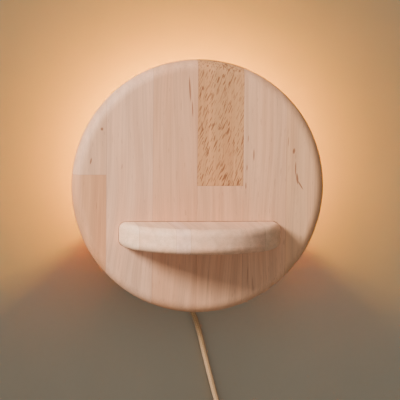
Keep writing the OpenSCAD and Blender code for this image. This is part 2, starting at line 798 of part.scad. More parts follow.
module switch_base() {
  color(black_plastic) at_switch() {
    difference() {
      switch_shell(-switch_t / 2, 0, -switch_t / 2 + switch_wall, eps);
      for (s = [-1, 1]) translate([s * boss_x, -s * boss_y, -switch_t / 2 - eps]) {
        cylinder(h = 4, r = case_screw_r + 0.2);
        cylinder(h = 1.6, r = 2.4);
      }
    }
    // post with a cradle that carries the contact lever
    difference() {
      translate([-post_l / 2, -lever_w / 2, case_floor_z]) cube([post_l, lever_w, post_h]);
      lever_axle(knuckle_r + knuckle_gap, lever_w + 1);
    }
  }
}

module switch_cover() {
  color(black_plastic) at_switch() difference() {
    union() {
      switch_shell(0, switch_t / 2, -eps, switch_t / 2 - switch_wall);
      for (s = [-1, 1]) translate([s * boss_x, -s * boss_y, 0.4])
        cylinder(h = switch_t / 2 - switch_wall, r = boss_r);
      for (y = [-1, 1]) translate([-4, y > 0 ? rocker_open_w / 2 + 0.1 : -rocker_open_w / 2 - 0.1 - cheek_t, 3])
        cube([8, cheek_t, switch_t / 2 - switch_wall - 2.5]);
    }
    translate([0, 0, switch_t / 2 - switch_wall - eps]) linear_extrude(switch_wall + 2 * eps)
      round_rect(rocker_open_l, rocker_open_w, 1.5);
    translate([0, 0, rocker_pivot]) rotate([90, 0, 0])
      cylinder(h = axle_l + 1, r = axle_r + axle_gap, center = true);
    for (s = [-1, 1]) translate([s * boss_x, -s * boss_y, 0]) cylinder(h = 6, r = case_screw_r + 0.1);
  }
}

module rocker_tilt(pivot, angle) {
  translate([0, 0, pivot]) rotate([0, angle, 0]) translate([0, 0, -pivot]) children();
}

module switch_rocker() {
  half = rocker_l / 2;
  color("black") at_switch() rocker_tilt(rocker_pivot, -rocker_tip) difference() {
    union() {
      translate([0, rocker_w / 2, 0]) rotate([90, 0, 0]) linear_extrude(rocker_w) polygon([
        [-half, rocker_low + 1], [-half + 1, rocker_low], [half - 1, rocker_low], [half, rocker_low + 1],
        [half, rocker_high - 0.6], [half - 0.8, rocker_high], [4.5, rocker_high - 0.9], [0, rocker_high - 1.2],
        [-4.5, rocker_high - 0.9], [-half + 0.8, rocker_high], [-half, rocker_high - 0.6]
      ]);
      translate([0, 0, rocker_pivot]) rotate([90, 0, 0]) cylinder(h = axle_l, r = axle_r, center = true);
    }
    translate([0, 0, rocker_low - eps]) cylinder(h = plunger_hole_top - rocker_low + eps, r = plunger_r + 0.1);
  }
}

module rocker_plunger() {
  color(brass) at_switch() rocker_tilt(rocker_pivot, -rocker_tip) {
    translate([0, 0, plunger_tip + plunger_r])
      cylinder(h = plunger_top - plunger_tip - plunger_r, r = plunger_r);
    translate([0, 0, plunger_tip + plunger_r]) sphere(plunger_r, $fn = 32);
  }
}

module plunger_spring() {
  color(steel) at_switch() rocker_tilt(rocker_pivot, -rocker_tip)
    tube_z(1, 0.6, plunger_top, plunger_hole_top);
}

// Round bar along the lever's pivot
module lever_axle(r, length) {
  translate([0, 0, lever_pivot]) rotate([90, 0, 0]) cylinder(h = length, r = r, center = true);
}

module contact_lever() {
  color(brass) at_switch() rocker_tilt(lever_pivot, rocker_tip) {
    translate([-lever_l / 2, -lever_w / 2, lever_pivot - lever_t / 2]) cube([lever_l, lever_w, lever_t]);
    // knuckle under the lever
    difference() {
      lever_axle(knuckle_r, lever_w);
      translate([-lever_l / 2, -lever_w, lever_pivot]) cube([lever_l, 2 * lever_w, 2 * knuckle_r]);
    }
  }
}

// A clamping block at each end. One carries the contact under the lever, the other the lever's foot.
module switch_terminals() {
  half = terminal_block / 2;
  color(brass) at_switch() {
    for (s = [-1, 1]) difference() {
      translate([s * contact_x - half, -half, case_floor_z]) cube(terminal_block);
      translate([s * contact_x, 0, switch_wire_z]) cylinder(h = terminal_block, r = 1);
      translate([s * contact_x, 0, switch_wire_z]) rotate([0, 90, 0])
        cylinder(h = 8, r = switch_wire_r + 0.1, center = true);
    }
    translate([-contact_x + half, -2, contact_z - 0.7]) cube([4, 4, 0.7]);
    translate([post_l / 2 + 0.2, -2, case_floor_z]) cube([contact_x - half - post_l / 2 - 0.2, 4, 0.6]);
    translate([post_l / 2 + 0.2, -2, case_floor_z]) cube([0.6, 4, post_h - 0.5]);
  }
}

module switch_screws() {
  color(steel) at_switch() {
    for (s = [-1, 1]) {
      translate([s * boss_x, -s * boss_y, 1.1 - switch_t / 2]) rotate([180, 0, 0])
        screw(case_screw_r, 12, 2.2, 1);
      // the clamping screw of the terminal, on the wire
      translate([s * contact_x, 0, switch_wire_z + switch_wire_r]) difference() {
        cylinder(h = terminal_block - 2, r = 0.9);
        translate([-1, -0.25, terminal_block - 2.6]) cube([2, 0.5, 1]);
      }
    }
  }
}

module switch_wires() {
  wire_side = [0.1, 0.3, 1];
  color("saddlebrown") at_switch() {
    for (s = [-1, 1])
      sweep([for (p = switched_wire_route) [-s * p[0], p[1], p[2]]], switch_wire_r, 8, wire_side);
    sweep(through_wire_route, switch_wire_r, 8, wire_side);
  }
}

// ---- plug ----

module plug_sleeve() {
  ribs = 5;
  color(black_plastic) translate([plug_x, plug_y, plug_top_z]) difference() {
    union() {
      cylinder(h = sleeve_l, r1 = 5.2, r2 = cord_d / 2 + 0.7);
      for (i = [0:ribs - 1]) translate([0, 0, 1.5 + 3 * i]) cylinder(h = 1.4, r = 5.4 - 0.3 * i);
    }
    translate([0, 0, sleeve_l - 3]) cylinder(h = 4, r = cord_d / 2 - 0.6);
  }
}

module plug_body() {
  half = plug_w / 2;
  color(black_plastic) translate([plug_x, plug_y, plug_bottom_z]) intersection() {
    along_y(-plug_t / 2, plug_t / 2) polygon([
      [-half + 1, 0], [half - 1, 0], [half, 1], [half, 14], [half - 2.5, 19], [8.5, plug_l - 3],
      [7, plug_l], [-7, plug_l], [-8.5, plug_l - 3], [-half + 2.5, 19], [-half, 14], [-half, 1]
    ]);
    linear_extrude(plug_l) round_rect(plug_w, plug_t, 5);
  }
}

module plug_pins() {
  color(steel) for (x = [-pin_spacing / 2, pin_spacing / 2])
    translate([plug_x + x, plug_y, plug_bottom_z]) rotate([180, 0, 0]) {
      cylinder(h = pin_l - 1, r = pin_r);
      translate([0, 0, pin_l - 1]) cylinder(h = 1, r1 = pin_r, r2 = pin_r - 0.6);
    }
}

front_panel();
shelf_board();
hanger_rail();
angle_brackets();
bracket_screws();
keyhole_plates();
keyhole_screws();
lower_spacer();
spacer_dowels();
wall_pads();
cord_saddle();
saddle_screws();
holder_cap();
holder_body();
holder_core();
screw_shell();
centre_contact();
side_contact();
contact_rivets();
holder_terminals();
terminal_screws();
holder_nipple();
nipple_washer();
nipple_nut();
nipple_bush();
lead_wires();
bulb_dome();
bulb_collar();
led_board();
driver_board();
bulb_cap();
bulb_insulator();
bulb_tip();
lead_cord();
cord_drop();
switch_base();
switch_cover();
switch_rocker();
rocker_plunger();
plunger_spring();
contact_lever();
switch_terminals();
switch_screws();
switch_wires();
cord_coil();
cord_tie();
plug_sleeve();
plug_body();
plug_pins();
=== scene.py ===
"""Looks of a wall lamp: a round panel of glued staves, a half-moon shelf and a textile cord.

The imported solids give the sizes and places. This script finishes their surfaces, winds the braided
cord and its band, softens the edges of the moulded, turned and pressed parts, and adds a wall, a
floor, the lights and the camera. Metres throughout; the wall is y = 0 and the room is towards -Y.
"""

import json
import logging
import math
from collections.abc import Callable, Iterator, Sequence
from contextlib import contextmanager
from dataclasses import dataclass, field
from enum import Enum

import bmesh
import bpy
from mathutils import Euler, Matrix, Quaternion, Vector

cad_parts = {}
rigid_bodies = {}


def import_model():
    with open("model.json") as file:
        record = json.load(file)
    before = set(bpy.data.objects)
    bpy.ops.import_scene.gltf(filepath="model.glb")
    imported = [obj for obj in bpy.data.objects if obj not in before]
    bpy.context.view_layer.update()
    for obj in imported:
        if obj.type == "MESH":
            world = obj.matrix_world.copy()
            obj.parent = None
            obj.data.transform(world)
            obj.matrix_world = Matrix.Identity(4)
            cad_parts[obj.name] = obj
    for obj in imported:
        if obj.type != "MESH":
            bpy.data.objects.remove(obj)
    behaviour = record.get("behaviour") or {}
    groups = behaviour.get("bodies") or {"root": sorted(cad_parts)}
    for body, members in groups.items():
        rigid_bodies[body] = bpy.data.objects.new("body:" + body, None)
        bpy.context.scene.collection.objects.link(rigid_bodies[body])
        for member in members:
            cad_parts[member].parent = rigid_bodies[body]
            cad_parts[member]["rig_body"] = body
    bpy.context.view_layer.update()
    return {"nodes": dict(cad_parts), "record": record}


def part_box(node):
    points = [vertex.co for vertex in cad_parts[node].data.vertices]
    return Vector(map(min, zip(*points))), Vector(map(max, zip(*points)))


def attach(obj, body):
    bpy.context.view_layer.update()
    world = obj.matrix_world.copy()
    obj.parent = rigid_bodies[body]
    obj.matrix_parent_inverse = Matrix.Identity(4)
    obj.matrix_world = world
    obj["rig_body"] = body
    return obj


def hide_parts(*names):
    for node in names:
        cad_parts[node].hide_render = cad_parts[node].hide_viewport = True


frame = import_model()

log = logging.getLogger("wall_lamp")
MM = 0.001

Socket = bpy.types.NodeSocket
Value = float | Sequence[float] | Socket
Rule = Callable[[Vector, Vector | None], bool]


def linear(code: str) -> tuple[float, float, float]:
    """Turns a colour code into linear light.

    Args:
        code: Six hexadecimal digits, as a screen shows the colour.

    Returns:
        Linear red, green and blue.
    """
    parts = [int(code[i:i + 2], 16) / 255 for i in (0, 2, 4)]
    return tuple(p / 12.92 if p <= 0.04045 else ((p + 0.055) / 1.055) ** 2.4 for p in parts)


# ---------------------------------------------------------------- nodes and shared effects


class Nodes:
    """Lays shader nodes in one tree."""

    def __init__(self, tree: bpy.types.NodeTree) -> None:
        """Starts on a tree."""
        self.tree = tree

    def join(self, socket: Socket, value: Value) -> None:
        """Links a socket's input to another socket, or sets it.

        Args:
            socket: The input.
            value: A socket to link from, or the value to set.
        """
        if isinstance(value, Socket):
            self.tree.links.new(value, socket)
        elif socket.type == "RGBA" and len(value) == 3:
            socket.default_value = (*value, 1)
        else:
            socket.default_value = value

    def add(self, kind: str, inputs: dict[str | int, Value] | None = None, **settings) -> bpy.types.Node:
        """Adds a node.

        Args:
            kind: The node's type without its "ShaderNode" prefix.
            inputs: Values or sockets for its inputs, by name or number.
            **settings: Properties of the node.

        Returns:
            The node.
        """
        node = self.tree.nodes.new("ShaderNode" + kind)
        for name, setting in settings.items():
            setattr(node, name, setting)
        for name, value in (inputs or {}).items():
            self.join(node.inputs[name], value)
        return node

    def math(self, operation: str, *values: Value) -> Socket:
        """Adds a Math node and returns its result."""
        return self.add("Math", dict(enumerate(values)), operation=operation).outputs[0]

    def scaled(self, value: Value, by: Value, plus: Value = 0.0) -> Socket:
        """Returns a value multiplied by another, with a third added."""
        return self.math("MULTIPLY_ADD", value, by, plus)

    def over(self, value: Value, edge: Value) -> Socket:
        """Returns 1 where the value is above the edge, and else 0."""
        return self.math("GREATER_THAN", value, edge)

    def mix(self, share: Value, low: Value, high: Value) -> Socket:
        """Returns a colour between two colours."""
        return self.add("Mix", {0: share, 6: low, 7: high}, data_type="RGBA").outputs[2]

    def tint(self, colour: Value, by: Value, share: Value = 1.0) -> Socket:
        """Returns a colour multiplied by another, as far as the share says."""
        inputs = {0: share, 6: colour, 7: by}
        return self.add("Mix", inputs, data_type="RGBA", blend_type="MULTIPLY").outputs[2]

    def shaded(self, colour: Value, tone: Value) -> Socket:
        """Returns a colour made lighter or darker by a tone around 1."""
        return self.tint(colour, self.add("CombineXYZ", {0: tone, 1: tone, 2: tone}).outputs[0])

    def spread(self, value: Value, low: float = 0.3, high: float = 0.7,
               to_low: float = 0.0, to_high: float = 1.0) -> Socket:
        """Returns a value carried smoothly from one range, as a rule that of a noise, to another."""
        inputs = {0: value, 1: low, 2: high, 3: to_low, 4: to_high}
        return self.add("MapRange", inputs, interpolation_type="SMOOTHSTEP").outputs[0]

    def moved(self, vector: Value, offset: Value = (0, 0, 0), scale: Value = (1, 1, 1),
              turn: Value = (0, 0, 0)) -> Socket:
        """Returns a vector after a Mapping node."""
        inputs = {"Vector": vector, "Location": offset, "Rotation": turn, "Scale": scale}
        return self.add("Mapping", inputs).outputs[0]

    def noise(self, vector: Value, scale: Value, detail: float = 2.0, roughness: float = 0.5) -> Socket:
        """Returns a smooth random value, mostly between 0.3 and 0.7."""
        inputs = {"Vector": vector, "Scale": scale, "Detail": detail, "Roughness": roughness}
        return self.add("TexNoise", inputs).outputs[0]

    def split(self, vector: Value) -> tuple[Socket, Socket, Socket]:
        """Returns a vector's three parts."""
        return tuple(self.add("SeparateXYZ", {0: vector}).outputs)

    def place(self) -> Socket:
        """Returns the point of the surface in the row frame."""
        return self.add("TexCoord").outputs["Object"]

    def bump(self, height: Value, depth: float, strength: float = 1.0) -> Socket:
        """Returns a normal bent by a height of 0 to 1 over the given depth."""
        inputs = {"Height": height, "Distance": depth, "Strength": strength}
        return self.add("Bump", inputs).outputs[0]


@dataclass(frozen=True)
class Effect:
    """A shader effect that several finishes share, built once as a node group.

    Attributes:
        name: The group's name.
        inputs: The names of its inputs, all of them numbers but the one called Vector.
        outputs: The names of its outputs, all of them numbers.
        lay: Lays the nodes, from the input sockets by name to the output sockets in order.
    """

    name: str
    inputs: tuple[str, ...]
    outputs: tuple[str, ...]
    lay: Callable[[Nodes, dict[str, Socket]], Sequence[Socket]]

    def group(self) -> bpy.types.NodeTree:
        """Returns the node group, which the first call builds."""
        made = bpy.data.node_groups.get(self.name)
        if made:
            return made
        tree = bpy.data.node_groups.new(self.name, "ShaderNodeTree")
        for name in self.inputs:
            kind = "NodeSocketVector" if name == "Vector" else "NodeSocketFloat"
            tree.interface.new_socket(name, in_out="INPUT", socket_type=kind)
        for name in self.outputs:
            tree.interface.new_socket(name, in_out="OUTPUT", socket_type="NodeSocketFloat")
        start = tree.nodes.new("NodeGroupInput")
        end = tree.nodes.new("NodeGroupOutput")
        results = self.lay(Nodes(tree), {name: start.outputs[name] for name in self.inputs})
        for name, result in zip(self.outputs, results):
            tree.links.new(result, end.inputs[name])
        return tree

    def on(self, nodes: Nodes, **values: Value) -> dict[str, Socket]:
        """Places the group in a material's tree.

        Args:
            nodes: The material's nodes.
            **values: The group's inputs, with _ for a space in a name.

        Returns:
            The output sockets by name.
        """
        node = nodes.tree.nodes.new("ShaderNodeGroup")
        node.node_tree = self.group()
        for name, value in values.items():
            nodes.join(node.inputs[name.replace("_", " ")], value)
        return {name: node.outputs[name] for name in self.outputs}


def lay_grain(nodes: Nodes, at: dict[str, Socket]) -> list[Socket]:
    """Lays wood grain that runs along the vector's Z: broad figure, fine fibres and short pores."""
    shift = nodes.add("CombineXYZ", {0: at["Seed"], 1: nodes.scaled(at["Seed"], 1.7), 2: at["Seed"]})
    point = nodes.add("VectorMath", {0: at["Vector"], 1: shift.outputs[0]}, operation="ADD").outputs[0]
    sway = nodes.noise(nodes.moved(point, scale=(9, 9, 4)), 1.0, 1.0)
    across, depth, along = nodes.split(point)
    bent = nodes.scaled(sway, 0.03, across)
    lined = nodes.add("CombineXYZ", {0: bent, 1: depth, 2: along}).outputs[0]
    figure = nodes.noise(nodes.moved(lined, scale=(150, 110, 5)), 1.0, 3.0, 0.6)
    fibre = nodes.noise(nodes.moved(lined, scale=(1100, 1100, 16)), 1.0, 2.0, 0.6)
    pores = nodes.noise(nodes.moved(lined, scale=(620, 620, 75)), 1.0, 1.0)
    return [nodes.spread(figure), nodes.spread(fibre), nodes.spread(pores, 0.66, 0.76)]


GRAIN = Effect("Timber grain", ("Vector", "Seed"), ("Figure", "Fibre", "Pores"), lay_grain)


def lay_mark(nodes: Nodes, at: dict[str, Socket]) -> list[Socket]:
    """Lays one soft-edged knot, streak or scratch: an ellipse that leans over, in millimetres."""
    across = nodes.math("SUBTRACT", at["Across"], at["Centre Across"])
    along = nodes.math("SUBTRACT", at["Along"], at["Centre Along"])
    level = nodes.math("SUBTRACT", across, nodes.math("MULTIPLY", along, at["Lean"]))
    wide = nodes.math("POWER", nodes.math("DIVIDE", level, at["Half Width"]), 2.0)
    long = nodes.math("POWER", nodes.math("DIVIDE", along, at["Half Length"]), 2.0)
    return [nodes.spread(nodes.math("ADD", wide, long), 1.4, 0.2)]


MARK = Effect(
    "Wood mark", ("Across", "Along", "Centre Across", "Centre Along", "Half Width", "Half Length", "Lean"),
    ("Mask",), lay_mark)


def lay_skin(nodes: Nodes, at: dict[str, Socket]) -> list[Socket]:
    """Lays the skin of a moulded or cast part: a fine pebble, and broad patches of handling."""
    pebble = nodes.noise(at["Vector"], at["Scale"], 3.0, 0.6)
    broad = nodes.noise(at["Vector"], nodes.scaled(at["Scale"], 0.06), 3.0)
    return [nodes.spread(pebble, 0.25, 0.75), nodes.spread(broad)]


SKIN = Effect("Moulded skin", ("Vector", "Scale"), ("Pebble", "Handling"), lay_skin)


def lay_plating(nodes: Nodes, at: dict[str, Socket]) -> list[Socket]:
    """Lays plated or drawn metal: fine streaks along Z of the vector, cloudy patches and tiny pits."""
    streaks = nodes.noise(nodes.moved(at["Vector"], scale=(1, 1, 0.03)), at["Scale"], 2.0)
    cloud = nodes.noise(at["Vector"], nodes.scaled(at["Scale"], 0.09), 4.0, 0.6)
    pits = nodes.noise(at["Vector"], nodes.scaled(at["Scale"], 0.5), 1.0)
    return [nodes.spread(streaks), nodes.spread(cloud, 0.35, 0.65), nodes.spread(pits, 0.7, 0.78)]


PLATING = Effect("Plated metal", ("Vector", "Scale"), ("Streaks", "Cloud", "Pits"), lay_plating)


def lay_weave(nodes: Nodes, at: dict[str, Socket]) -> list[Socket]:
    """Lays threads that cross over and under each other: P and Q count the threads both ways."""
    round_p, round_q = (
        nodes.math("SINE", nodes.scaled(nodes.math("FRACT", at[name]), math.pi)) for name in ("P", "Q"))
    cells = nodes.math("ADD", nodes.math("FLOOR", at["P"]), nodes.math("FLOOR", at["Q"]))
    upper = nodes.over(nodes.math("PINGPONG", cells, 1.0), 0.5)
    over = nodes.add("Mix", {0: upper, 2: round_p, 3: round_q}).outputs[0]
    under = nodes.add("Mix", {0: upper, 2: round_q, 3: round_p}).outputs[0]
    return [nodes.math("MULTIPLY", over, nodes.scaled(under, 0.45, 0.55)), upper]


WEAVE = Effect("Crossing threads", ("P", "Q"), ("Height", "Upper"), lay_weave)


# ---------------------------------------------------------------- finishes


@dataclass(frozen=True)
class Finish:
    """A surface finish, made a material on first use.

    Attributes:
        name: The slot that it dresses.
    """

    name: str

    def lay(self, nodes: Nodes) -> dict[str, Value]:
        """Lays the finish's nodes.

        Args:
            nodes: The material's nodes.

        Returns:
            What goes into the surface shader's inputs, by their names.
        """
        raise NotImplementedError

    def material(self) -> bpy.types.Material:
        """Returns the material, which the first call builds."""
        title = f"{self.name}_finish"
        made = bpy.data.materials.get(title)
        if made:
            return made
        made = bpy.data.materials.new(title)
        made.use_nodes = True
        made.node_tree.nodes.clear()
        nodes = Nodes(made.node_tree)
        nodes.add("OutputMaterial", {"Surface": nodes.add("BsdfPrincipled", self.lay(nodes)).outputs[0]})
        return made


@dataclass(frozen=True)
class Mark:
    """A knot, streak or pinhole in the wood, by its place on the face. Millimetres.

    Attributes:
        across: Its place across the staves.
        along: Its place along the staves.
        half_width: Half its width.
        half_length: Half its length.
        lean: How far it leans across for each unit along.
        depth: How strongly it shows, from 0 to 1.
    """

    across: float
    along: float
    half_width: float
    half_length: float
    lean: float = 0.0
    depth: float = 0.85


@dataclass(frozen=True)
class Stave:
    """One stave of glued board. Millimetres.

    Attributes:
        far_edge: Where it ends across the board.
        colour: Its colour code beyond its end joint, and all over if it has none.
        joint: Where its end joint lies along the board, if it has one.
        short_colour: The colour code before the end joint.
    """

    far_edge: float
    colour: str
    joint: float | None = None
    short_colour: str = ""


@dataclass(frozen=True)
class Timber(Finish):
    """Glued staves of pale hardwood under a matt clear lacquer.

    Attributes:
        staves: The staves in order.
        turn: How the row frame is turned so that X lies across the staves and Z along them.
        marks: Dark marks on the face.
        flecked: The staves, by number, with slanted ray flecks beyond their end joint.
        mark_colour: The colour code of marks and seams.
        fleck_colour: The colour code of the flecks.
        low_tone: The tone between the grain's lines.
        figure: How much the broad figure lightens the tone.
        fibre: How much the fine fibres lighten it.
        pores: How much the pores darken it.
        seam_half: Half the width of a seam, in millimetres.
        seed_step: How far the grain is shifted from stave to stave.
        roughness: The mean roughness.
    """

    staves: tuple[Stave, ...] = ()
    turn: tuple[float, float, float] = (0, 0, 0)
    marks: tuple[Mark, ...] = ()
    flecked: int = -1
    mark_colour: str = "7B4A30"
    fleck_colour: str = "7F4E2F"
    low_tone: float = 0.82
    figure: float = 0.20
    fibre: float = 0.13
    pores: float = 0.16
    seam_half: float = 0.22
    seed_step: float = 0.37
    roughness: float = 0.62

    def lay(self, nodes: Nodes) -> dict[str, Value]:
        """Lays the staves' colours, then grain, flecks, marks and seams."""
        point = nodes.moved(nodes.place(), turn=self.turn)
        across, _, along = nodes.split(nodes.moved(point, scale=(1 / MM, 1 / MM, 1 / MM)))
        colour, seed, seam, flecked = self._lay_staves(nodes, across, along)
        grain = GRAIN.on(nodes, Vector=point, Seed=seed)
        tone = nodes.scaled(grain["Figure"], self.figure, self.low_tone)
        tone = nodes.scaled(grain["Fibre"], self.fibre, tone)
        colour = nodes.shaded(colour, nodes.scaled(grain["Pores"], -self.pores, tone))
        warmth = nodes.noise(nodes.moved(point, scale=(60, 60, 6)), 1.0, 2.0)
        colour = nodes.tint(colour, (1.02, 0.95, 0.90), nodes.spread(warmth, 0.35, 0.75))
        if flecked:
            colour = nodes.mix(self._lay_flecks(nodes, point, flecked), colour, linear(self.fleck_colour))
        mask: Value = 0.0
        for mark in self.marks:
            one = MARK.on(
                nodes, Across=across, Along=along, Centre_Across=mark.across, Centre_Along=mark.along,
                Half_Width=mark.half_width, Half_Length=mark.half_length, Lean=mark.lean)["Mask"]
            mask = nodes.math("MAXIMUM", mask, nodes.math("MULTIPLY", one, mark.depth))
        if mask:
            colour = nodes.mix(mask, colour, linear(self.mark_colour))
        height = nodes.math("SUBTRACT", nodes.scaled(grain["Fibre"], 0.5), grain["Pores"])
        return {
            "Base Color": nodes.mix(nodes.scaled(seam, 0.35), colour, linear(self.mark_colour)),
            "Roughness": nodes.scaled(grain["Fibre"], 0.12, self.roughness - 0.06),
            "Specular IOR Level": 0.35,
            "Normal": nodes.bump(nodes.scaled(seam, -1.5, height), 0.05 * MM, 0.7),
        }

    def _lay_staves(self, nodes: Nodes, across: Socket, along: Socket) -> tuple[Value, Value, Value, Value]:
        """Lays the staves side by side.

        Args:
            nodes: The material's nodes.
            across: The place across the board.
            along: The place along it.

        Returns:
            The colour, the seed of the grain, the mask of the seams, and the mask of the flecked stave.
        """
        colour: Value = (0, 0, 0)
        seed: Value = 0.0
        seam: Value = 0.0
        flecked: Value = 0.0
        past: Value = 1.0
        for number, stave in enumerate(self.staves):
            own: Value = linear(stave.colour)
            if stave.joint is not None:
                beyond = nodes.over(along, stave.joint)
                own = nodes.mix(beyond, linear(stave.short_colour), own)
                here = nodes.math("MULTIPLY", past, nodes.over(stave.far_edge, across))
                both = nodes.math("MULTIPLY", here, beyond)
                seed = nodes.scaled(both, self.seed_step / 2, seed)
                line = nodes.math("COMPARE", along, stave.joint, self.seam_half)
                seam = nodes.math("MAXIMUM", seam, nodes.math("MULTIPLY", line, here))
                if number == self.flecked:
                    flecked = both
            colour = nodes.mix(past, colour, own)
            past = nodes.over(across, stave.far_edge)
            seed = nodes.scaled(past, self.seed_step, seed)
            seam = nodes.math("MAXIMUM", seam, nodes.math("COMPARE", across, stave.far_edge, self.seam_half))
        return colour, seed, seam, flecked

    @staticmethod
    def _lay_flecks(nodes: Nodes, point: Socket, zone: Socket) -> Socket:
        """Lays slanted ray flecks.

        Args:
            nodes: The material's nodes.
            point: The place on the board.
            zone: The mask of the stave that has them.

        Returns:
            Their mask.
        """
        slanted = nodes.moved(nodes.moved(point, turn=(0, math.radians(-20), 0)), scale=(780, 780, 105))
        flecks = nodes.spread(nodes.noise(slanted, 1.0, 1.0), 0.54, 0.61)
        patches = nodes.noise(nodes.moved(point, scale=(60, 60, 30)), 1.0, 1.0)
        thick = nodes.spread(patches, 0.35, 0.6, 0.4, 0.95)
        return nodes.math("MULTIPLY", nodes.math("MULTIPLY", flecks, thick), zone)


@dataclass(frozen=True)
class Moulded(Finish):
    """Moulded plastic, glazed ceramic or glass: a fine skin with rubbed patches.

    Attributes:
        colour: The colour code.
        roughness: The mean roughness.
        pebble: The depth of the skin's pebble.
        scale: How fine the pebble is.
    """

    colour: str = "202020"
    roughness: float = 0.4
    pebble: float = 0.02 * MM
    scale: float = 2500.0

    def lay(self, nodes: Nodes) -> dict[str, Value]:
        """Lays the skin."""
        skin = SKIN.on(nodes, Vector=nodes.place(), Scale=self.scale)
        return {
            "Base Color": nodes.shaded(linear(self.colour), nodes.scaled(skin["Handling"], 0.16, 0.92)),
            "Roughness": nodes.scaled(skin["Handling"], 0.16, self.roughness - 0.08),
            "Normal": nodes.bump(skin["Pebble"], self.pebble),
        }


@dataclass(frozen=True)
class Metal(Finish):
    """Plated steel or bright brass strip.

    Attributes:
        colour: The colour code of the clean metal.
        dull_colour: The colour code of the cloudy patches.
        roughness: The mean roughness.
        scale: How fine the streaks are.
    """

    colour: str = "C8C9CB"
    dull_colour: str = "9A9C9F"
    roughness: float = 0.32
    scale: float = 3000.0

    def lay(self, nodes: Nodes) -> dict[str, Value]:
        """Lays streaks, cloudy patches and pits."""
        plate = PLATING.on(nodes, Vector=nodes.place(), Scale=self.scale)
        colour = nodes.mix(plate["Cloud"], linear(self.colour), linear(self.dull_colour))
        rough = nodes.scaled(plate["Cloud"], 0.18, self.roughness - 0.09)
        return {
            "Base Color": nodes.tint(colour, (0.4, 0.38, 0.36), plate["Pits"]),
            "Metallic": 1.0,
            "Roughness": nodes.scaled(plate["Pits"], 0.2, rough),
            "Normal": nodes.bump(plate["Streaks"], 0.012 * MM),
        }


@dataclass(frozen=True)
class Opal(Finish):
    """The bulb's opal dome, lit from inside, a little brighter round its crown than at its collar.

    Attributes:
        colour: The colour code of the unlit plastic.
        glow: The colour code of its light.
        strength: How strongly it shines.
        collar_z: The height at which the dome starts.
        crown_z: The height from which it is brightest.
    """

    colour: str = "F4EDE0"
    glow: str = "FFBE00"
    strength: float = 600.0
    collar_z: float = 52 * MM
    crown_z: float = 78 * MM

    def lay(self, nodes: Nodes) -> dict[str, Value]:
        """Lays the plastic and its light."""
        skin = SKIN.on(nodes, Vector=nodes.place(), Scale=900.0)
        height = nodes.split(nodes.place())[2]
        return {
            "Base Color": nodes.shaded(linear(self.colour), nodes.spread(skin["Handling"], 0, 1, 0.95, 1.0)),
            "Roughness": 0.28,
            "Emission Color": nodes.shaded(
                linear(self.glow), nodes.spread(height, self.collar_z, self.crown_z, 0.8, 1.0)),
            "Emission Strength": self.strength,
        }


@dataclass(frozen=True)
class Braid(Finish):
    """The cord's braided textile sleeve. It reads a UV map of turns round and metres along.

    Attributes:
        colour: The colour code of the main yarn.
        second: The colour code of the other yarn.
        threads: Threads round the cord each way.
        lay_length: Length along the cord of one thread's turn round it.
    """

    colour: str = "D6A878"
    second: str = "B0824F"
    threads: float = 8.0
    lay_length: float = 17 * MM

    def lay(self, nodes: Nodes) -> dict[str, Value]:
        """Lays crossing threads, with painted shade in the dips between them, and a soft sheen."""
        around, along, _ = nodes.split(nodes.add("UVMap", uv_map=Tube.UV).outputs[0])
        turns = nodes.scaled(around, self.threads)
        run = nodes.scaled(along, self.threads / self.lay_length)
        weave = WEAVE.on(nodes, P=nodes.math("ADD", turns, run), Q=nodes.math("SUBTRACT", turns, run))
        fluff = nodes.noise(nodes.place(), 2600.0, 3.0, 0.7)
        colour = nodes.mix(nodes.scaled(weave["Upper"], 0.8), linear(self.colour), linear(self.second))
        # Painted shade: the colour darkens where the weave's threads dip, between the crossings.
        colour = nodes.shaded(colour, nodes.scaled(weave["Height"], 0.5, 0.55))
        return {
            "Base Color": nodes.shaded(colour, nodes.spread(fluff, 0.3, 0.7, 0.86, 1.08)),
            "Roughness": nodes.spread(fluff, 0.3, 0.7, 0.8, 0.95),
            "Sheen Weight": 0.25,
            "Specular IOR Level": 0.2,
            "Normal": nodes.bump(nodes.scaled(fluff, 0.3, weave["Height"]), 0.28 * MM),
        }


@dataclass(frozen=True)
class Cloth(Finish):
    """Pressed felt or the woven band, by its thread or fibre size.

    Attributes:
        colour: The colour code.
        threads: Threads a metre each way, or none for felt.
        fibre: How fine the loose fibres are.
    """

    colour: str = "5C5650"
    threads: float = 0.0
    fibre: float = 2200.0

    def lay(self, nodes: Nodes) -> dict[str, Value]:
        """Lays fibres, and threads if it is woven, with painted shade in the weave's dips."""
        height = fibres = nodes.noise(nodes.place(), self.fibre, 4.0, 0.7)
        if self.threads:
            across, deep, high = nodes.split(nodes.place())
            wide = nodes.scaled(nodes.math("ADD", across, deep), self.threads)
            weave = WEAVE.on(nodes, P=wide, Q=nodes.scaled(high, self.threads))
            height = nodes.scaled(fibres, 0.4, weave["Height"])
        return {
            # Tone by height: random fibre tone, and for the woven band also painted shade where its threads
            # dip.
            "Base Color": nodes.shaded(linear(self.colour), nodes.spread(height, 0.0, 1.3, 0.72, 1.12)),
            "Roughness": nodes.spread(fibres, 0.3, 0.7, 0.85, 0.98),
            "Sheen Weight": 0.3,
            "Normal": nodes.bump(height, 0.2 * MM),
        }


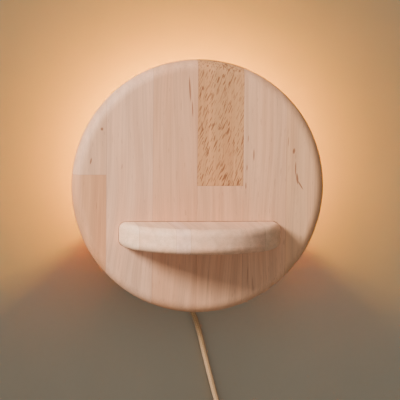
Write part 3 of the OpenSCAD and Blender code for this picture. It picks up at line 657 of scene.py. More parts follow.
@dataclass(frozen=True)
class BoardLacquer(Finish):
    """A coated circuit board with copper lands as a fine check under the lacquer.

    Attributes:
        colour: The lacquer's colour code.
        land: The colour code of the lands.
    """

    colour: str = "E9EAE4"
    land: str = "C9B98A"

    def lay(self, nodes: Nodes) -> dict[str, Value]:
        """Lays the lands and the lacquer."""
        point = nodes.place()
        check = nodes.add("TexBrick", {"Vector": point, "Scale": 420.0, "Mortar Size": 0.12}).outputs["Fac"]
        skin = SKIN.on(nodes, Vector=point, Scale=1800.0)
        return {
            "Base Color": nodes.mix(nodes.scaled(check, 0.5), linear(self.colour), linear(self.land)),
            "Roughness": nodes.spread(skin["Handling"], 0.0, 1.0, 0.3, 0.45),
            "Normal": nodes.bump(check, 0.03 * MM),
        }


@dataclass(frozen=True)
class Paint(Finish):
    """A plain painted wall or floor, with very faint roller marks, for the stage.

    Attributes:
        colour: The colour code.
        one_sided: Whether it shows only from its front.
    """

    colour: str = "D8D3C8"
    one_sided: bool = False

    def lay(self, nodes: Nodes) -> dict[str, Value]:
        """Lays the roller marks."""
        roller = nodes.spread(nodes.noise(nodes.place(), 6.0, 4.0), 0.3, 0.7, 0.97, 1.03)
        return {
            "Base Color": nodes.shaded(linear(self.colour), roller),
            "Roughness": 0.85,
            "Specular IOR Level": 0.2,
        }

    def material(self) -> bpy.types.Material:
        """Returns the material, see-through from behind if it is one-sided."""
        made = super().material()
        if self.one_sided:
            nodes = Nodes(made.node_tree)
            surface = made.node_tree.nodes["Material Output"].inputs["Surface"]
            behind = nodes.add("NewGeometry").outputs["Backfacing"]
            clear = nodes.add("BsdfTransparent").outputs[0]
            front = surface.links[0].from_socket
            nodes.join(surface, nodes.add("MixShader", {0: behind, 1: front, 2: clear}).outputs[0])
        return made


PANEL_WOOD = Timber(
    "panel_wood",
    staves=(
        Stave(-103, "CE9B77", joint=68, short_colour="C4895F"), Stave(-52, "D09E7C"), Stave(-3, "C9936E"),
        Stave(48, "BE8657", joint=56, short_colour="CD9771"), Stave(96, "CF9B75"), Stave(141, "CC986F"),
    ),
    flecked=3,
    marks=(
        Mark(-108.1, 117.9, 1.6, 1.9), Mark(-120, 83, 0.9, 3.6, 0.2), Mark(-86, 77, 0.6, 3, 0.1, 0.5),
        Mark(-12.2, 162, 0.9, 14, -0.06), Mark(-9, 140, 0.6, 9, -0.04), Mark(1.5, 122, 0.7, 5),
        Mark(2, 163, 1.4, 2.6), Mark(14, 123, 2.2, 2.2, 0.5, 0.6), Mark(21, 119, 1.6, 2, 0.4, 0.6),
        Mark(42.8, 182, 1.1, 1.6), Mark(53, 108, 0.6, 4, 0.05, 0.6), Mark(59.5, 90, 0.7, 7),
        Mark(52, 76, 0.6, 3.5), Mark(51, 56, 0.6, 4), Mark(104.3, 94.5, 1.5, 3.2, 0.1),
        Mark(98, 105, 0.6, 6, 0.05, 0.5), Mark(108.5, 64, 1.3, 6.5, -0.1), Mark(112, 57, 0.9, 5.5, -0.6),
        Mark(106.5, 75, 0.7, 8), Mark(54, -44, 0.8, 12, 0.03, 0.35), Mark(60, -54, 0.8, 10, -0.04, 0.35),
        Mark(10, -50, 0.6, 14, 0.02, 0.25),
    ),
)
BOARD_TURN = (math.radians(90), 0, 0)
# The shelf's staves are paler than the panel's: partly the wood's own paler tone, partly painted highlight for
# the shelf's front and top, which meet the key light more squarely.
SHELF_WOOD = Timber(
    "shelf_wood", turn=BOARD_TURN,
    staves=(
        Stave(-72, "EDC19C"), Stave(-36, "E2B28E"), Stave(-21, "DBAC8E"), Stave(62, "D8A683"),
        Stave(91, "DBAC87"),
    ),
)
FINISHES: dict[str, Finish] = {finish.name: finish for finish in (
    PANEL_WOOD, SHELF_WOOD,
    Timber("dowel_wood", turn=BOARD_TURN, staves=(Stave(1000, "C79A68"),)),
    Metal("zinc_steel"),
    Metal("brass", colour="D9B45F", dull_colour="A88343", roughness=0.3),
    Metal("bulb_nickel", colour="D6D4CF", dull_colour="B3B1AB", roughness=0.22),
    Metal("pin_nickel", colour="D8D6D1", dull_colour="B9B6AF", roughness=0.2),
    Cloth("felt"),
    Cloth("tie_band", colour="7E5F41", threads=900.0),
    Braid("cord_textile"),
    Opal("opal"),
    BoardLacquer("circuit_board"),
    Moulded("holder_plastic", colour="26231F", roughness=0.42),
    Moulded("holder_ceramic", colour="ECE7DA", roughness=0.22, pebble=0.01 * MM, scale=900.0),
    Moulded("wire_jacket", colour="7A4A26", roughness=0.35, scale=1500.0),
    Moulded("bulb_white", colour="EFEEE9", roughness=0.3, pebble=0.008 * MM),
    Moulded("bulb_glass", colour="0C0C0D", roughness=0.12, pebble=0.004 * MM, scale=700.0),
    Moulded("switch_plastic", colour="1B1A19", roughness=0.34),
    Moulded("plunger_plastic", colour="E6E4DC", roughness=0.35, scale=1200.0),
    Moulded("plug_plastic", colour="1D1C1A", roughness=0.5, pebble=0.03 * MM),
)}


# ---------------------------------------------------------------- the bench: shaping and settling pieces


class Element(Enum):
    """What a selection picks in edit mode."""

    FACES = "faces"
    EDGES = "edges"


class Bench:
    """The tools that shape a piece and settle it on its body."""

    @staticmethod
    def pick(piece: bpy.types.Object) -> None:
        """Selects one piece alone and makes it active."""
        bpy.ops.object.select_all(action="DESELECT")
        piece.select_set(True)
        bpy.context.view_layer.objects.active = piece

    @staticmethod
    @contextmanager
    def editing(piece: bpy.types.Object) -> Iterator[None]:
        """Opens a piece in edit mode with nothing selected, and closes it again."""
        Bench.pick(piece)
        bpy.ops.object.mode_set(mode="EDIT")
        bpy.ops.mesh.select_all(action="DESELECT")
        yield
        bpy.ops.object.mode_set(mode="OBJECT")

    @staticmethod
    def choose(piece: bpy.types.Object, element: Element, rule: Rule) -> None:
        """Selects the faces or edges that a rule picks, in edit mode.

        Args:
            piece: The piece in edit mode.
            element: Faces or edges.
            rule: Says of a middle point and of a face's normal, along the piece's own axes, whether to select.
        """
        by_face = element is Element.FACES
        shape = bmesh.from_edit_mesh(piece.data)
        shape.normal_update()
        bpy.context.tool_settings.mesh_select_mode = (False, not by_face, by_face)
        shape.select_mode = {"FACE" if by_face else "EDGE"}
        for part in shape.faces if by_face else shape.edges:
            middle = sum((corner.co for corner in part.verts), Vector()) / len(part.verts)
            part.select_set(rule(middle, part.normal if by_face else None))
        shape.select_flush_mode()
        bmesh.update_edit_mesh(piece.data)

    @staticmethod
    def start(name: str, add: Callable[..., set[str]], scale: Sequence[float] = (1, 1, 1),
              **how) -> bpy.types.Object:
        """Starts a piece from a plain form.

        Args:
            name: The piece's name.
            add: The operator that adds the form.
            scale: How far it is stretched along its own axes.
            **how: The operator's settings.

        Returns:
            The piece.
        """
        bpy.ops.object.select_all(action="DESELECT")
        add(**how)
        piece = bpy.context.object
        piece.name = piece.data.name = name
        piece.scale = scale
        return piece

    @staticmethod
    def set_origin(piece: bpy.types.Object) -> None:
        """Brings a piece's origin to the frame's, and leaves its shape where it is."""
        Bench.pick(piece)
        bpy.ops.object.transform_apply(location=True, rotation=True, scale=True)

    @staticmethod
    def join(first: bpy.types.Object, *others: bpy.types.Object) -> None:
        """Joins pieces into the first."""
        Bench.pick(first)
        for piece in others:
            piece.select_set(True)
        bpy.ops.object.join()

    @staticmethod
    def break_edges(piece: bpy.types.Object, width: float, segments: int, above: float) -> bpy.types.Modifier:
        """Adds a bevel to the edges above an angle.

        Args:
            piece: The piece.
            width: The bevel's width, in millimetres.
            segments: Its steps.
            above: The angle, in degrees.

        Returns:
            The modifier.
        """
        edges = piece.modifiers.new("broken_edges", "BEVEL")
        edges.width = width * MM
        edges.segments = segments
        edges.limit_method = "ANGLE"
        edges.angle_limit = math.radians(above)
        return edges

    @staticmethod
    def finish_shape(piece: bpy.types.Object, smooth_under: float = 35.0) -> None:
        """Applies a piece's modifiers and place, and smooths it under an angle in degrees."""
        Bench.pick(piece)
        for modifier in list(piece.modifiers):
            bpy.ops.object.modifier_apply(modifier=modifier.name)
        Bench.set_origin(piece)
        bpy.ops.object.shade_smooth_by_angle(angle=math.radians(smooth_under))

    @staticmethod
    def dress(piece: bpy.types.Object, slot: str) -> None:
        """Gives a piece the finish of a slot, in place of any other."""
        piece.data.materials.clear()
        piece.data.materials.append(FINISHES[slot].material())
        log.info("%s is finished in %s", piece.name, slot)

    @staticmethod
    def settle(piece: bpy.types.Object, slot: str, *nodes: str) -> None:
        """Dresses a piece, rides it on the body of the nodes that it stands for, and hides them.

        Args:
            piece: The finished piece.
            slot: The material slot, which names the finish.
            *nodes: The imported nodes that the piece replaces.
        """
        Bench.dress(piece, slot)
        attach(piece, frame["nodes"][nodes[0]]["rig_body"])
        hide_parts(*nodes)


# ---------------------------------------------------------------- cord


@dataclass
class Tube:
    """A round tube swept along a path, with a UV map of turns round and metres along.

    Attributes:
        name: The piece's name.
        path: The points that it follows.
        radius: Its radius.
        sides: Its sides.
    """

    name: str
    path: list[Vector]
    radius: float
    sides: int = 16

    UV = "braid"

    def build(self) -> bpy.types.Object:
        """Builds the tube and links it to the scene.

        Returns:
            The piece.
        """
        shape = bmesh.new()
        layer = shape.loops.layers.uv.new(self.UV)
        rings, lengths = self._rings(shape)
        for i in range(len(rings) - 1):
            for k in range(self.sides):
                spots = ((k, i), (k + 1, i), (k + 1, i + 1), (k, i + 1))
                face = shape.faces.new([rings[ring][turn % self.sides] for turn, ring in spots])
                for loop, (turn, ring) in zip(face.loops, spots):
                    loop[layer].uv = (turn / self.sides, lengths[ring])
        shape.faces.new(reversed(rings[0]))
        shape.faces.new(rings[-1])
        bmesh.ops.recalc_face_normals(shape, faces=shape.faces)
        mesh = bpy.data.meshes.new(self.name)
        shape.to_mesh(mesh)
        shape.free()
        piece = bpy.data.objects.new(self.name, mesh)
        bpy.context.scene.collection.objects.link(piece)
        Bench.finish_shape(piece, 60.0)
        return piece

    def _rings(self, shape: bmesh.types.BMesh) -> tuple[list[list[bmesh.types.BMVert]], list[float]]:
        """Adds one ring of vertices for each point, turned as little as possible from ring to ring."""
        rings, lengths = [], []
        ahead = (self.path[1] - self.path[0]).normalized()
        side = ahead.orthogonal().normalized()
        run = 0.0
        for i, point in enumerate(self.path):
            before, after = self.path[max(i - 1, 0)], self.path[min(i + 1, len(self.path) - 1)]
            heading = (after - before).normalized()
            side = (side - heading * side.dot(heading)).normalized()
            other = heading.cross(side)
            run += (point - before).length
            lengths.append(run)
            angles = [2 * math.pi * k / self.sides for k in range(self.sides)]
            rings.append([
                shape.verts.new(point + self.radius * (math.cos(angle) * side + math.sin(angle) * other))
                for angle in angles])
        return rings, lengths


def smooth_path(points: Sequence[Sequence[float]], step: float) -> list[Vector]:
    """Runs a smooth curve through points in millimetres.

    Args:
        points: The points.
        step: The greatest distance between the curve's points, in millimetres.

    Returns:
        The curve's points, in metres.
    """
    knots = [Vector(p) * MM for p in points]
    spans = [(b - a).length for a, b in zip(knots, knots[1:])]
    slopes = []
    for i in range(len(knots)):
        low, high = max(i - 1, 0), min(i + 1, len(knots) - 1)
        slopes.append((knots[high] - knots[low]) / sum(spans[low:high]))
    curve = [knots[0]]
    for i, span in enumerate(spans):
        count = max(1, math.ceil(span / (step * MM)))
        for k in range(1, count + 1):
            t = k / count
            start = (2 * t ** 3 - 3 * t ** 2 + 1) * knots[i] + (t ** 3 - 2 * t ** 2 + t) * span * slopes[i]
            end = (3 * t ** 2 - 2 * t ** 3) * knots[i + 1] + (t ** 3 - t ** 2) * span * slopes[i + 1]
            curve.append(start + end)
    return curve


@dataclass
class Cord:
    """The textile cord: its run inside the lamp, the free drop to the switch, and the coil. Millimetres.

    Attributes:
        diameter: The cord's diameter.
        inside_route: From the lampholder through the board's bolt to the foot of the spacer.
        drop_route: From the spacer to the switch.
        switch_bottom: Where the cord leaves the switch.
        turns: The coil's turns, in two layers.
        climb: The turns that the cord takes to climb from one layer to the other.
        pitch: Distance from one turn to the next, and from one layer to the other.
        outer_radius: Radius of the outermost turn.
        lead_in_radius: Radius of the arc that meets the coil from outside.
        lead_in_steps: Steps in that arc.
        meeting: How far outside the outermost turn the arc meets it, in pitches.
        plug_aside: How far the plug hangs to the right of the coil's edge.
        plug_y: Where the plug hangs along Y.
        tail_straight: Length of the straight piece after the coil.
        tail_drop: Height of the bend that leads to the plug.
        points_per_turn: Points in each turn.
        step: Greatest distance between two points of a free run.
        pieces: The lengths made, by name.
    """

    diameter: float = 6
    inside_route: tuple[tuple[float, float, float], ...] = (
        (0, -27, 3.5), (0, -27, -4), (0, -27, -12), (0, -27, -18), (0, -26.3, -24), (0, -24.3, -30),
        (0, -21.1, -35.5), (0, -16.8, -40), (0, -12.4, -44.5), (0, -9.2, -50), (0, -7.2, -56),
        (0, -6.5, -62), (0, -6.5, -68.5), (0, -6.5, -75),
    )
    drop_route: tuple[tuple[float, float, float], ...] = (
        (0, -6.5, -75), (0, -6.5, -81), (1, -6.2, -87.5), (4.2, -5.6, -96), (8, -5, -105.5),
        (11.6, -4.3, -116.5), (14.8, -3.8, -128.5), (17.8, -3.6, -141), (21.2, -3.6, -154),
        (24.6, -3.6, -167), (28, -3.8, -180), (31.2, -4.4, -192), (34.4, -5.9, -203.5),
        (37.4, -8.4, -213.5), (39.3, -11.2, -220.5), (40, -12.5, -226), (40, -12.5, -232),
    )
    switch_bottom: tuple[float, float, float] = (40, -12.5, -290)
    turns: int = 7
    climb: float = 0.5
    pitch: float = 6.7
    outer_radius: float = 47.5
    lead_in_radius: float = 28
    lead_in_steps: int = 12
    meeting: float = 0.19
    plug_aside: float = 8
    plug_y: float = -9
    tail_straight: float = 4
    tail_drop: float = 30
    points_per_turn: int = 48
    step: float = 2.5
    pieces: dict[str, bpy.types.Object] = field(default_factory=dict)

    def build(self) -> None:
        """Makes the three lengths of cord."""
        for name, path, node in (
                ("drop_cord", self.drop_path(), "cord_drop"), ("coil_cord", self.coil_path(), "cord_coil"),
                ("inside_cord", smooth_path(self.inside_route, self.step), "lead_cord")):
            self.pieces[name] = Tube(name, path, self.diameter * MM / 2).build()
            Bench.settle(self.pieces[name], "cord_textile", node)

    def declare(self, plug: Sequence[bpy.types.Object]) -> None:
        """Args:
            plug: The tie and the pieces of the plug, on the coiled length. Not used.
        """
        drop_path, coil_path = self.drop_path(), self.coil_path()

    def drop_path(self) -> list[Vector]:
        """Returns the points of the free drop, in metres."""
        return smooth_path(self.drop_route, self.step)

    def coil_path(self) -> list[Vector]:
        """Works out the coiled length, from the switch to the plug.

        Returns:
            Its points, in metres.
        """
        x, y, bottom = self.switch_bottom
        start_z = bottom - self.diameter
        lead_in = self.lead_in_radius
        reach = lead_in + self.outer_radius + self.meeting * self.pitch
        join = math.acos(lead_in / reach)
        coil_z = start_z - reach * math.sin(join)
        angles = [join * i / self.lead_in_steps for i in range(self.lead_in_steps)]
        entry = [(x, y, bottom)]
        entry += [(x + lead_in * (1 - math.cos(a)), y, start_z - lead_in * math.sin(a)) for a in angles]
        lead_turns = join / (2 * math.pi)
        lead_count = math.ceil(lead_turns * self.points_per_turn)
        counts = [lead_turns * i / lead_count for i in range(-lead_count, 0)]
        counts += [i / self.points_per_turn for i in range(self.turns * self.points_per_turn + 1)]
        turns = [self._turn_point(t, x, y, coil_z) for t in counts]
        tail_x, back_y = x + self.outer_radius, y + self.pitch
        end = (tail_x + self.plug_aside, self.plug_y, coil_z - self.tail_straight - self.tail_drop)
        tail = self._s_bend((tail_x, back_y, coil_z - self.tail_straight), end, 6)
        tail.append((end[0], end[1], end[2] - self.diameter))
        return smooth_path(entry + turns + tail, self.step * 3)

    def _turn_point(self, t: float, x: float, y: float, z: float) -> tuple[float, float, float]:
        """Returns the point after t turns: in towards the middle, back a layer, and out again."""
        radius = self.outer_radius - self.pitch * min(t, self.turns - t)
        climbed = min(1.0, max(0.0, (t - (self.turns - self.climb) / 2) / self.climb))
        angle = 2 * math.pi * t
        return x + radius * math.cos(angle), y + self.pitch * climbed, z - radius * math.sin(angle)

    @staticmethod
    def _s_bend(start: Sequence[float], end: Sequence[float], steps: int) -> list[tuple[float, float, float]]:
        """Returns two equal arcs between two points, straight down at both."""
        drop = start[2] - end[2]
        aside = Vector((end[0] - start[0], end[1] - start[1], 0))
        radius = (drop ** 2 + aside.length_squared) / (4 * aside.length)
        whole = 2 * math.atan(aside.length / drop)
        heading = aside.normalized()
        points = []
        for i in range(2 * steps + 1):
            angle = whole * min(i, 2 * steps - i) / steps
            shift = heading * radius * (1 - math.cos(angle)) - Vector((0, 0, radius * math.sin(angle)))
            points.append(tuple(Vector(start) + shift if i <= steps else Vector(end) - shift))
        return points


# ---------------------------------------------------------------- softened copies of the hard parts


@dataclass(frozen=True)
class Softening:
    """How the edges of one hard part are broken. Millimetres.

    Attributes:
        node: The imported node.
        name: The piece that stands for it.
        width: The width of the broken edges.
        rim: A larger rounding of the outline of one flat side, if any.
        rim_y: Where that side lies along Y.
    """

    node: str
    name: str
    width: float
    rim: float = 0.0
    rim_y: float = 0.0


SOFTENINGS = tuple(Softening(*row) for row in (
    ("lower_spacer", "spacer_block", 0.8), ("angle_brackets", "pressed_angles", 0.35),
    ("bracket_screws", "angle_screws", 0.12), ("keyhole_plates", "stamped_keyhole_plates", 0.2),
    ("keyhole_screws", "plate_screws", 0.1), ("cord_saddle", "saddle_strap", 0.2),
    ("saddle_screws", "strap_screws", 0.1), ("holder_cap", "holder_dome", 0.25),
    ("holder_body", "holder_sleeve", 0.2), ("nipple_washer", "bolt_washer", 0.2),
    ("nipple_nut", "bolt_nut", 0.3), ("nipple_bush", "bolt_bush", 0.15),
    ("bulb_collar", "bulb_skirt", 0.15),
    ("switch_base", "switch_lower_case", 0.25, 1.6, -3.5),
    ("switch_cover", "switch_upper_case", 0.25, 2.4, -21.5),
    ("switch_rocker", "switch_key", 0.35), ("switch_screws", "case_screws", 0.1),
    ("plug_sleeve", "plug_relief", 0.2), ("plug_body", "plug_grip", 1.4),
    ("plug_pins", "plug_prongs", 0.2),
))
# Corners nearer than this are one, faces flatter than this are one, and sharper edges are broken.
MERGE_WITHIN = 0.002 * MM
FLAT_WITHIN = math.radians(1.5)
BROKEN_ABOVE = 38
# The switch case's corner radius, how far in its long sides are looked for, and the play of both looks.
CASE_CORNER = 9 * MM
CASE_SIDE = 3.03 * MM
CASE_PLAY = 0.05 * MM


class HardParts:
    """The moulded, turned and pressed parts, each a copy of its node with broken edges."""

    def __init__(self, slots: dict[str, str]) -> None:
        """Takes the record's slot of each node."""
        self.slots = slots
        self.made: dict[str, bpy.types.Object] = {}

    def build(self) -> None:
        """Makes every softened copy."""
        for softening in SOFTENINGS:
            piece = self._copy(softening)
            Bench.settle(piece, self.slots[softening.node], softening.node)
            self.made[softening.node] = piece

    def pieces(self, *nodes: str) -> list[bpy.types.Object]:
        """Returns what shows for each node: its softened copy, or the node itself."""
        return [self.made.get(node, frame["nodes"][node]) for node in nodes]

    def _copy(self, softening: Softening) -> bpy.types.Object:
        """Copies a node's mesh, merges its flat faces, breaks its edges, and evens its shading."""
        piece = bpy.data.objects.new(softening.name, frame["nodes"][softening.node].data.copy())
        bpy.context.scene.collection.objects.link(piece)
        Bench.pick(piece)
        bpy.ops.mesh.customdata_custom_splitnormals_clear()
        with Bench.editing(piece):
            bpy.ops.mesh.select_all(action="SELECT")
            bpy.ops.mesh.remove_doubles(threshold=MERGE_WITHIN)
            bpy.ops.mesh.dissolve_limited(angle_limit=FLAT_WITHIN)
        if softening.rim:
            self._round_rim(piece, softening)
        Bench.break_edges(piece, softening.width, 2, BROKEN_ABOVE).miter_outer = "MITER_ARC"
        Bench.finish_shape(piece)
        even = piece.modifiers.new("even_shading", "WEIGHTED_NORMAL")
        even.keep_sharp = True
        bpy.ops.object.modifier_apply(modifier=even.name)
        return piece

    @staticmethod
    def _round_rim(piece: bpy.types.Object, softening: Softening) -> None:
        """Rounds the outline of the switch case's flat side, and leaves the window inside it."""
        corners = [Vector(c) for c in piece.bound_box]
        low, high = (Vector(least(c[i] for c in corners) for i in range(3)) for least in (min, max))
        inner_low, inner_high = low + Vector([CASE_CORNER] * 3), high - Vector([CASE_CORNER] * 3)

        def on_outline(middle: Vector, _: None) -> bool:
            """Says whether an edge's middle lies in the flat side, on its rounded outline."""
            if abs(middle.y - softening.rim_y * MM) > CASE_PLAY:
                return False
            if min(middle.x - low.x, high.x - middle.x) < CASE_SIDE:
                return True
            x = max(inner_low.x - middle.x, middle.x - inner_high.x, 0)
            z = max(inner_low.z - middle.z, middle.z - inner_high.z, 0)
            return math.hypot(x, z) > CASE_CORNER - CASE_PLAY

        with Bench.editing(piece):
            Bench.choose(piece, Element.EDGES, on_outline)
            bpy.ops.mesh.bevel(offset=softening.rim * MM, segments=5, affect="EDGES")


# ---------------------------------------------------------------- soft trim


@dataclass
class Feet:
    """Two felt feet between the spacer and the wall. Millimetres.

    Attributes:
        radius: Radius of a foot.
        rounding: Rounding of its edge.
        swell: How far its fibres stand proud.
        tuft: Size of its tufts of fibres.
    """

    radius: float = 3.9
    rounding: float = 0.5
    swell: float = 0.12
    tuft: float = 0.8

    def build(self) -> None:
        """Makes both feet as one piece."""
        low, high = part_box("wall_pads")
        _, y, z = ((near + far) / 2 for near, far in zip(low, high))
        feet = [
            Bench.start(
                "felt_feet", bpy.ops.mesh.primitive_cylinder_add, vertices=48, radius=self.radius * MM,
                depth=high[1] - low[1], location=(x, y, z), rotation=(math.pi / 2, 0, 0))
            for x in (low[0] + self.radius * MM, high[0] - self.radius * MM)]
        for foot in feet:
            self._shape(foot)
        Bench.join(*feet)
        Bench.settle(feet[0], "felt", "wall_pads")

    def _shape(self, foot: bpy.types.Object) -> None:
        """Rounds a foot's edge and roughens its fibres."""
        with Bench.editing(foot):
            Bench.choose(foot, Element.FACES, lambda at, normal: abs(normal.z) > 0.9)
            bpy.ops.mesh.inset(thickness=self.rounding * MM)
            bpy.ops.mesh.inset(thickness=self.radius * MM / 3)
        Bench.break_edges(foot, self.rounding, 3, 60)
        Bench.finish_shape(foot, 60.0)
        fibres = foot.modifiers.new("fibres", "DISPLACE")
        fibres.texture = bpy.data.textures.new("felt_fibres", "CLOUDS")
        fibres.texture.noise_scale = self.tuft * MM
        fibres.strength = self.swell * MM
        Bench.finish_shape(foot, 60.0)


@dataclass
class Tie:
    """The band that holds the coil, closed by a tongue that laps over its front. Millimetres.

    Attributes:
        thickness: The band's thickness.
        corner: Radius of its corners.
        tongue: Length of the lapping tongue.
        proud: How far the tongue lies in front of the band's face.
        narrower: How much narrower the tongue is than the band.
        drawn_in: How far the corners of its end are drawn in.
        tucked: How far its root goes into the band.
        edge: Width of the broken edges.
    """

    thickness: float = 1.2
    corner: float = 4.0
    tongue: float = 15.0
    proud: float = 0.68
    narrower: float = 1.0
    drawn_in: float = 3.0
    tucked: float = 0.5
    edge: float = 0.25

    def build(self) -> bpy.types.Object:
        """Makes the band in place of its node.

        Returns:
            The piece.
        """
        low, high = (Vector(corner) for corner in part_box("cord_tie"))
        middle = (low + high) / 2
        band = Bench.start("coil_band", bpy.ops.mesh.primitive_cube_add, high - low, size=1, location=middle)
        Bench.set_origin(band)
        with Bench.editing(band):
            Bench.choose(band, Element.FACES, lambda at, normal: abs(normal.z) > 0.9)
            bpy.ops.mesh.delete(type="FACE")
            Bench.choose(band, Element.EDGES, lambda at, normal: abs(at.z - middle.z) < MM)
            bpy.ops.mesh.bevel(offset=self.corner * MM, segments=6, affect="EDGES")
        Bench.join(band, self._tongue(low, high))
        wall = band.modifiers.new("wall", "SOLIDIFY")
        wall.thickness = self.thickness * MM
        wall.offset = -1
        Bench.break_edges(band, self.edge, 2, 50)
        Bench.finish_shape(band, 40.0)
        Bench.settle(band, "tie_band", "cord_tie")
        return band

    def _tongue(self, low: Vector, high: Vector) -> bpy.types.Object:
        """Makes the tongue, with a rounded end.

        Args:
            low: The band's lowest corner.
            high: Its highest corner.

        Returns:
            The tongue, on the band's front.
        """
        middle_z, half_z = (low.z + high.z) / 2, (high.z - low.z) / 2
        start, length = low.x + self.corner * MM, self.tongue * MM
        tongue = Bench.start(
            "band_tongue", bpy.ops.mesh.primitive_plane_add, (length, 2 * half_z - self.narrower * MM, 1),
            size=1, location=(start + length / 2, low.y - self.proud * MM, middle_z),
            rotation=(math.pi / 2, 0, 0))
        Bench.set_origin(tongue)
        with Bench.editing(tongue):
            bpy.ops.mesh.select_all(action="SELECT")
            bpy.ops.mesh.subdivide(number_cuts=3)
            shape = bmesh.from_edit_mesh(tongue.data)
            for corner in shape.verts:
                if abs(corner.co.x - start - length) < 0.01 * MM:
                    corner.co.x -= self.drawn_in * MM * ((corner.co.z - middle_z) / half_z) ** 4
                if abs(corner.co.x - start) < 0.01 * MM:
                    corner.co.y += self.tucked * MM
            bmesh.update_edit_mesh(tongue.data)
        return tongue


# ---------------------------------------------------------------- the lamp and its stage


class Lamp:
    """The whole lamp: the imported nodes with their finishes, and the pieces that stand for some."""

    def __init__(self) -> None:
        """Reads each node's slot from the record."""
        record = frame["record"]
        self.slots = {part["node"]: part["material_slot"] for part in record["subparts"]}

    def build(self) -> None:
        """Builds the cord first, then the rest."""
        cord = Cord()
        cord.build()
        parts = HardParts(self.slots)
        parts.build()
        Feet().build()
        tie = Tie().build()
        switch = parts.pieces(
            "switch_base", "switch_cover", "switch_rocker", "rocker_plunger", "plunger_spring",
            "contact_lever", "switch_terminals", "switch_screws", "switch_wires")
        cord.declare([tie, *parts.pieces("plug_sleeve", "plug_body", "plug_pins")])
        self.dress()

    def dress(self) -> None:
        """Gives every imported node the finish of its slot, in place of its plain material."""
        for name, node in frame["nodes"].items():
            Bench.dress(node, self.slots[name])


# The point that every light faces.
LAMP_MIDDLE = Vector((0, -0.08, 0.045))


def place_in_scene(name: str, data: bpy.types.ID, place: Sequence[float],
                   turn: Quaternion) -> bpy.types.Object:
    """Places a light or a camera in the scene.

    Args:
        name: The object's name.
        data: The light or camera.
        place: Its place.
        turn: Its turn.

    Returns:
        The object.
    """
    made = bpy.data.objects.new(name, data)
    bpy.context.scene.collection.objects.link(made)
    made.rotation_mode = "QUATERNION"
    made.rotation_quaternion = turn
    made.location = place
    return made


@dataclass(frozen=True)
class Softbox:
    """One large soft light that faces the lamp and is kept off the wall and the floor.

    Attributes:
        name: The light's name.
        left: Its azimuth to the left of the room's axis, in degrees.
        up: Its elevation, in degrees.
        size: Width of its face.
        power: Its power, in watts.
        colour: Its linear colour.
    """

    name: str
    left: float
    up: float
    size: float
    power: float
    colour: tuple[float, float, float] = (1.0, 0.97, 0.93)

    def build(self, distance: float, unlit: Sequence[bpy.types.Object]) -> None:
        """Makes the light.

        Args:
            distance: Its distance from the lamp.
            unlit: The pieces that it is kept off.
        """
        aside, above = math.radians(self.left), math.radians(self.up)
        level = math.cos(above)
        towards = Vector((-math.sin(aside) * level, -math.cos(aside) * level, math.sin(above)))
        data = bpy.data.lights.new(self.name, "AREA")
        data.shape = "DISK"
        data.size, data.energy, data.color = self.size, self.power, self.colour
        light = place_in_scene(
            self.name, data, towards * distance + LAMP_MIDDLE, (-towards).to_track_quat("-Z", "Y"))
        linked = bpy.data.collections.new(f"lit_by_{self.name}")
        for number, piece in enumerate(unlit):
            linked.objects.link(piece)
            linked.collection_objects[number].light_linking.link_state = "EXCLUDE"
        light.light_linking.receiver_collection = linked


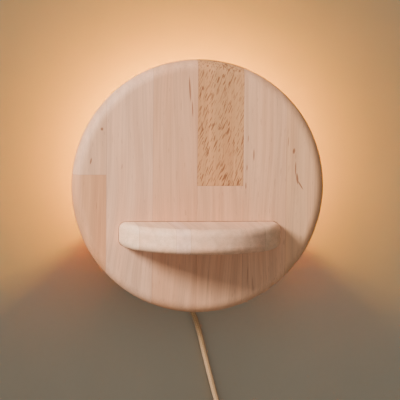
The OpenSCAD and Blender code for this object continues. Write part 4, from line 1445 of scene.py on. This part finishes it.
@dataclass
class Stage:
    """The wall, the floor, the lights and the camera.

    Attributes:
        wall_size: Width and height of the wall.
        floor_size: Width and depth of the floor.
        floor_z: Height of the floor.
        softboxes: The key light and two weak lights, from above and from below.
        light_distance: Their distance from the lamp.
        fill: Strength of the even light all round.
        fill_colour: Its linear colour.
        camera_place: The camera's place.
        camera_turn: Its turn to the right, its tilt down and its roll, in degrees.
        lens: Its focal length for a 36 mm sensor.
        shift: How far its frame is shifted to the right and up.
    """

    wall_size: tuple[float, float] = (3.2, 2.6)
    floor_size: tuple[float, float] = (6, 6)
    floor_z: float = -1.6
    softboxes: tuple[Softbox, ...] = (
        Softbox("key", 53, 27, 0.7, 116.0), Softbox("top", 12, 64, 1.0, 12.0),
        Softbox("low", 8, -32, 1.0, 9.0),
    )
    light_distance: float = 2.2
    fill: float = 0.32
    fill_colour: tuple[float, float, float, float] = (0.93, 0.95, 1.0, 1)
    camera_place: tuple[float, float, float] = (-0.2559, -1.8686, 0.1944)
    camera_turn: tuple[float, float, float] = (7.73, 4.6, 0.57)
    lens: float = 148.6
    shift: tuple[float, float] = (0.03, -0.02)

    def set_camera(self) -> None:
        """Makes the camera."""
        right, down, roll = (math.radians(angle) for angle in self.camera_turn)
        data = bpy.data.cameras.new("camera")
        data.lens, data.sensor_width = self.lens, 36
        data.shift_x, data.shift_y = self.shift
        aim = Euler((math.pi / 2 - down, 0, -right)).to_quaternion() @ Quaternion((0, 0, 1), roll)
        bpy.context.scene.camera = place_in_scene("camera", data, self.camera_place, aim)

    def build(self) -> None:
        """Makes the wall, the floor and the lights."""
        wall = self._sheet(
            "wall", self.wall_size, self.floor_z + self.wall_size[1] / 2, math.pi / 2,
            Paint("wall_paint", colour="D6C6A8", one_sided=True))
        wall.visible_shadow = False
        floor = self._sheet("floor", self.floor_size, self.floor_z, 0, Paint("floor_paint", colour="D9D5CC"))
        for softbox in self.softboxes:
            softbox.build(self.light_distance, (wall, floor))
        world = bpy.data.worlds.new("room_light")
        world.use_nodes = True
        background = world.node_tree.nodes["Background"]
        background.inputs["Color"].default_value = self.fill_colour
        background.inputs["Strength"].default_value = self.fill
        bpy.context.scene.world = world

    @staticmethod
    def _sheet(name: str, size: tuple[float, float], height: float, tilt: float,
               paint: Paint) -> bpy.types.Object:
        """Makes a plain sheet of the stage, facing up, or the room if it is tilted upright.

        Args:
            name: Its name.
            size: Its width and length.
            height: The height of its middle.
            tilt: How far it is tilted up, in radians.
            paint: Its paint.

        Returns:
            The sheet.
        """
        sheet = Bench.start(
            name, bpy.ops.mesh.primitive_plane_add, (*size, 1), size=1,
            location=(0, 0, height), rotation=(tilt, 0, 0))
        Bench.set_origin(sheet)
        sheet.data.materials.append(paint.material())
        return sheet


def main() -> None:
    """Builds the lamp and its stage."""
    logging.basicConfig(level=logging.INFO, format="%(name)s: %(message)s")
    stage = Stage()
    stage.set_camera()
    Lamp().build()
    stage.build()


if __name__ == "__main__":
    main()
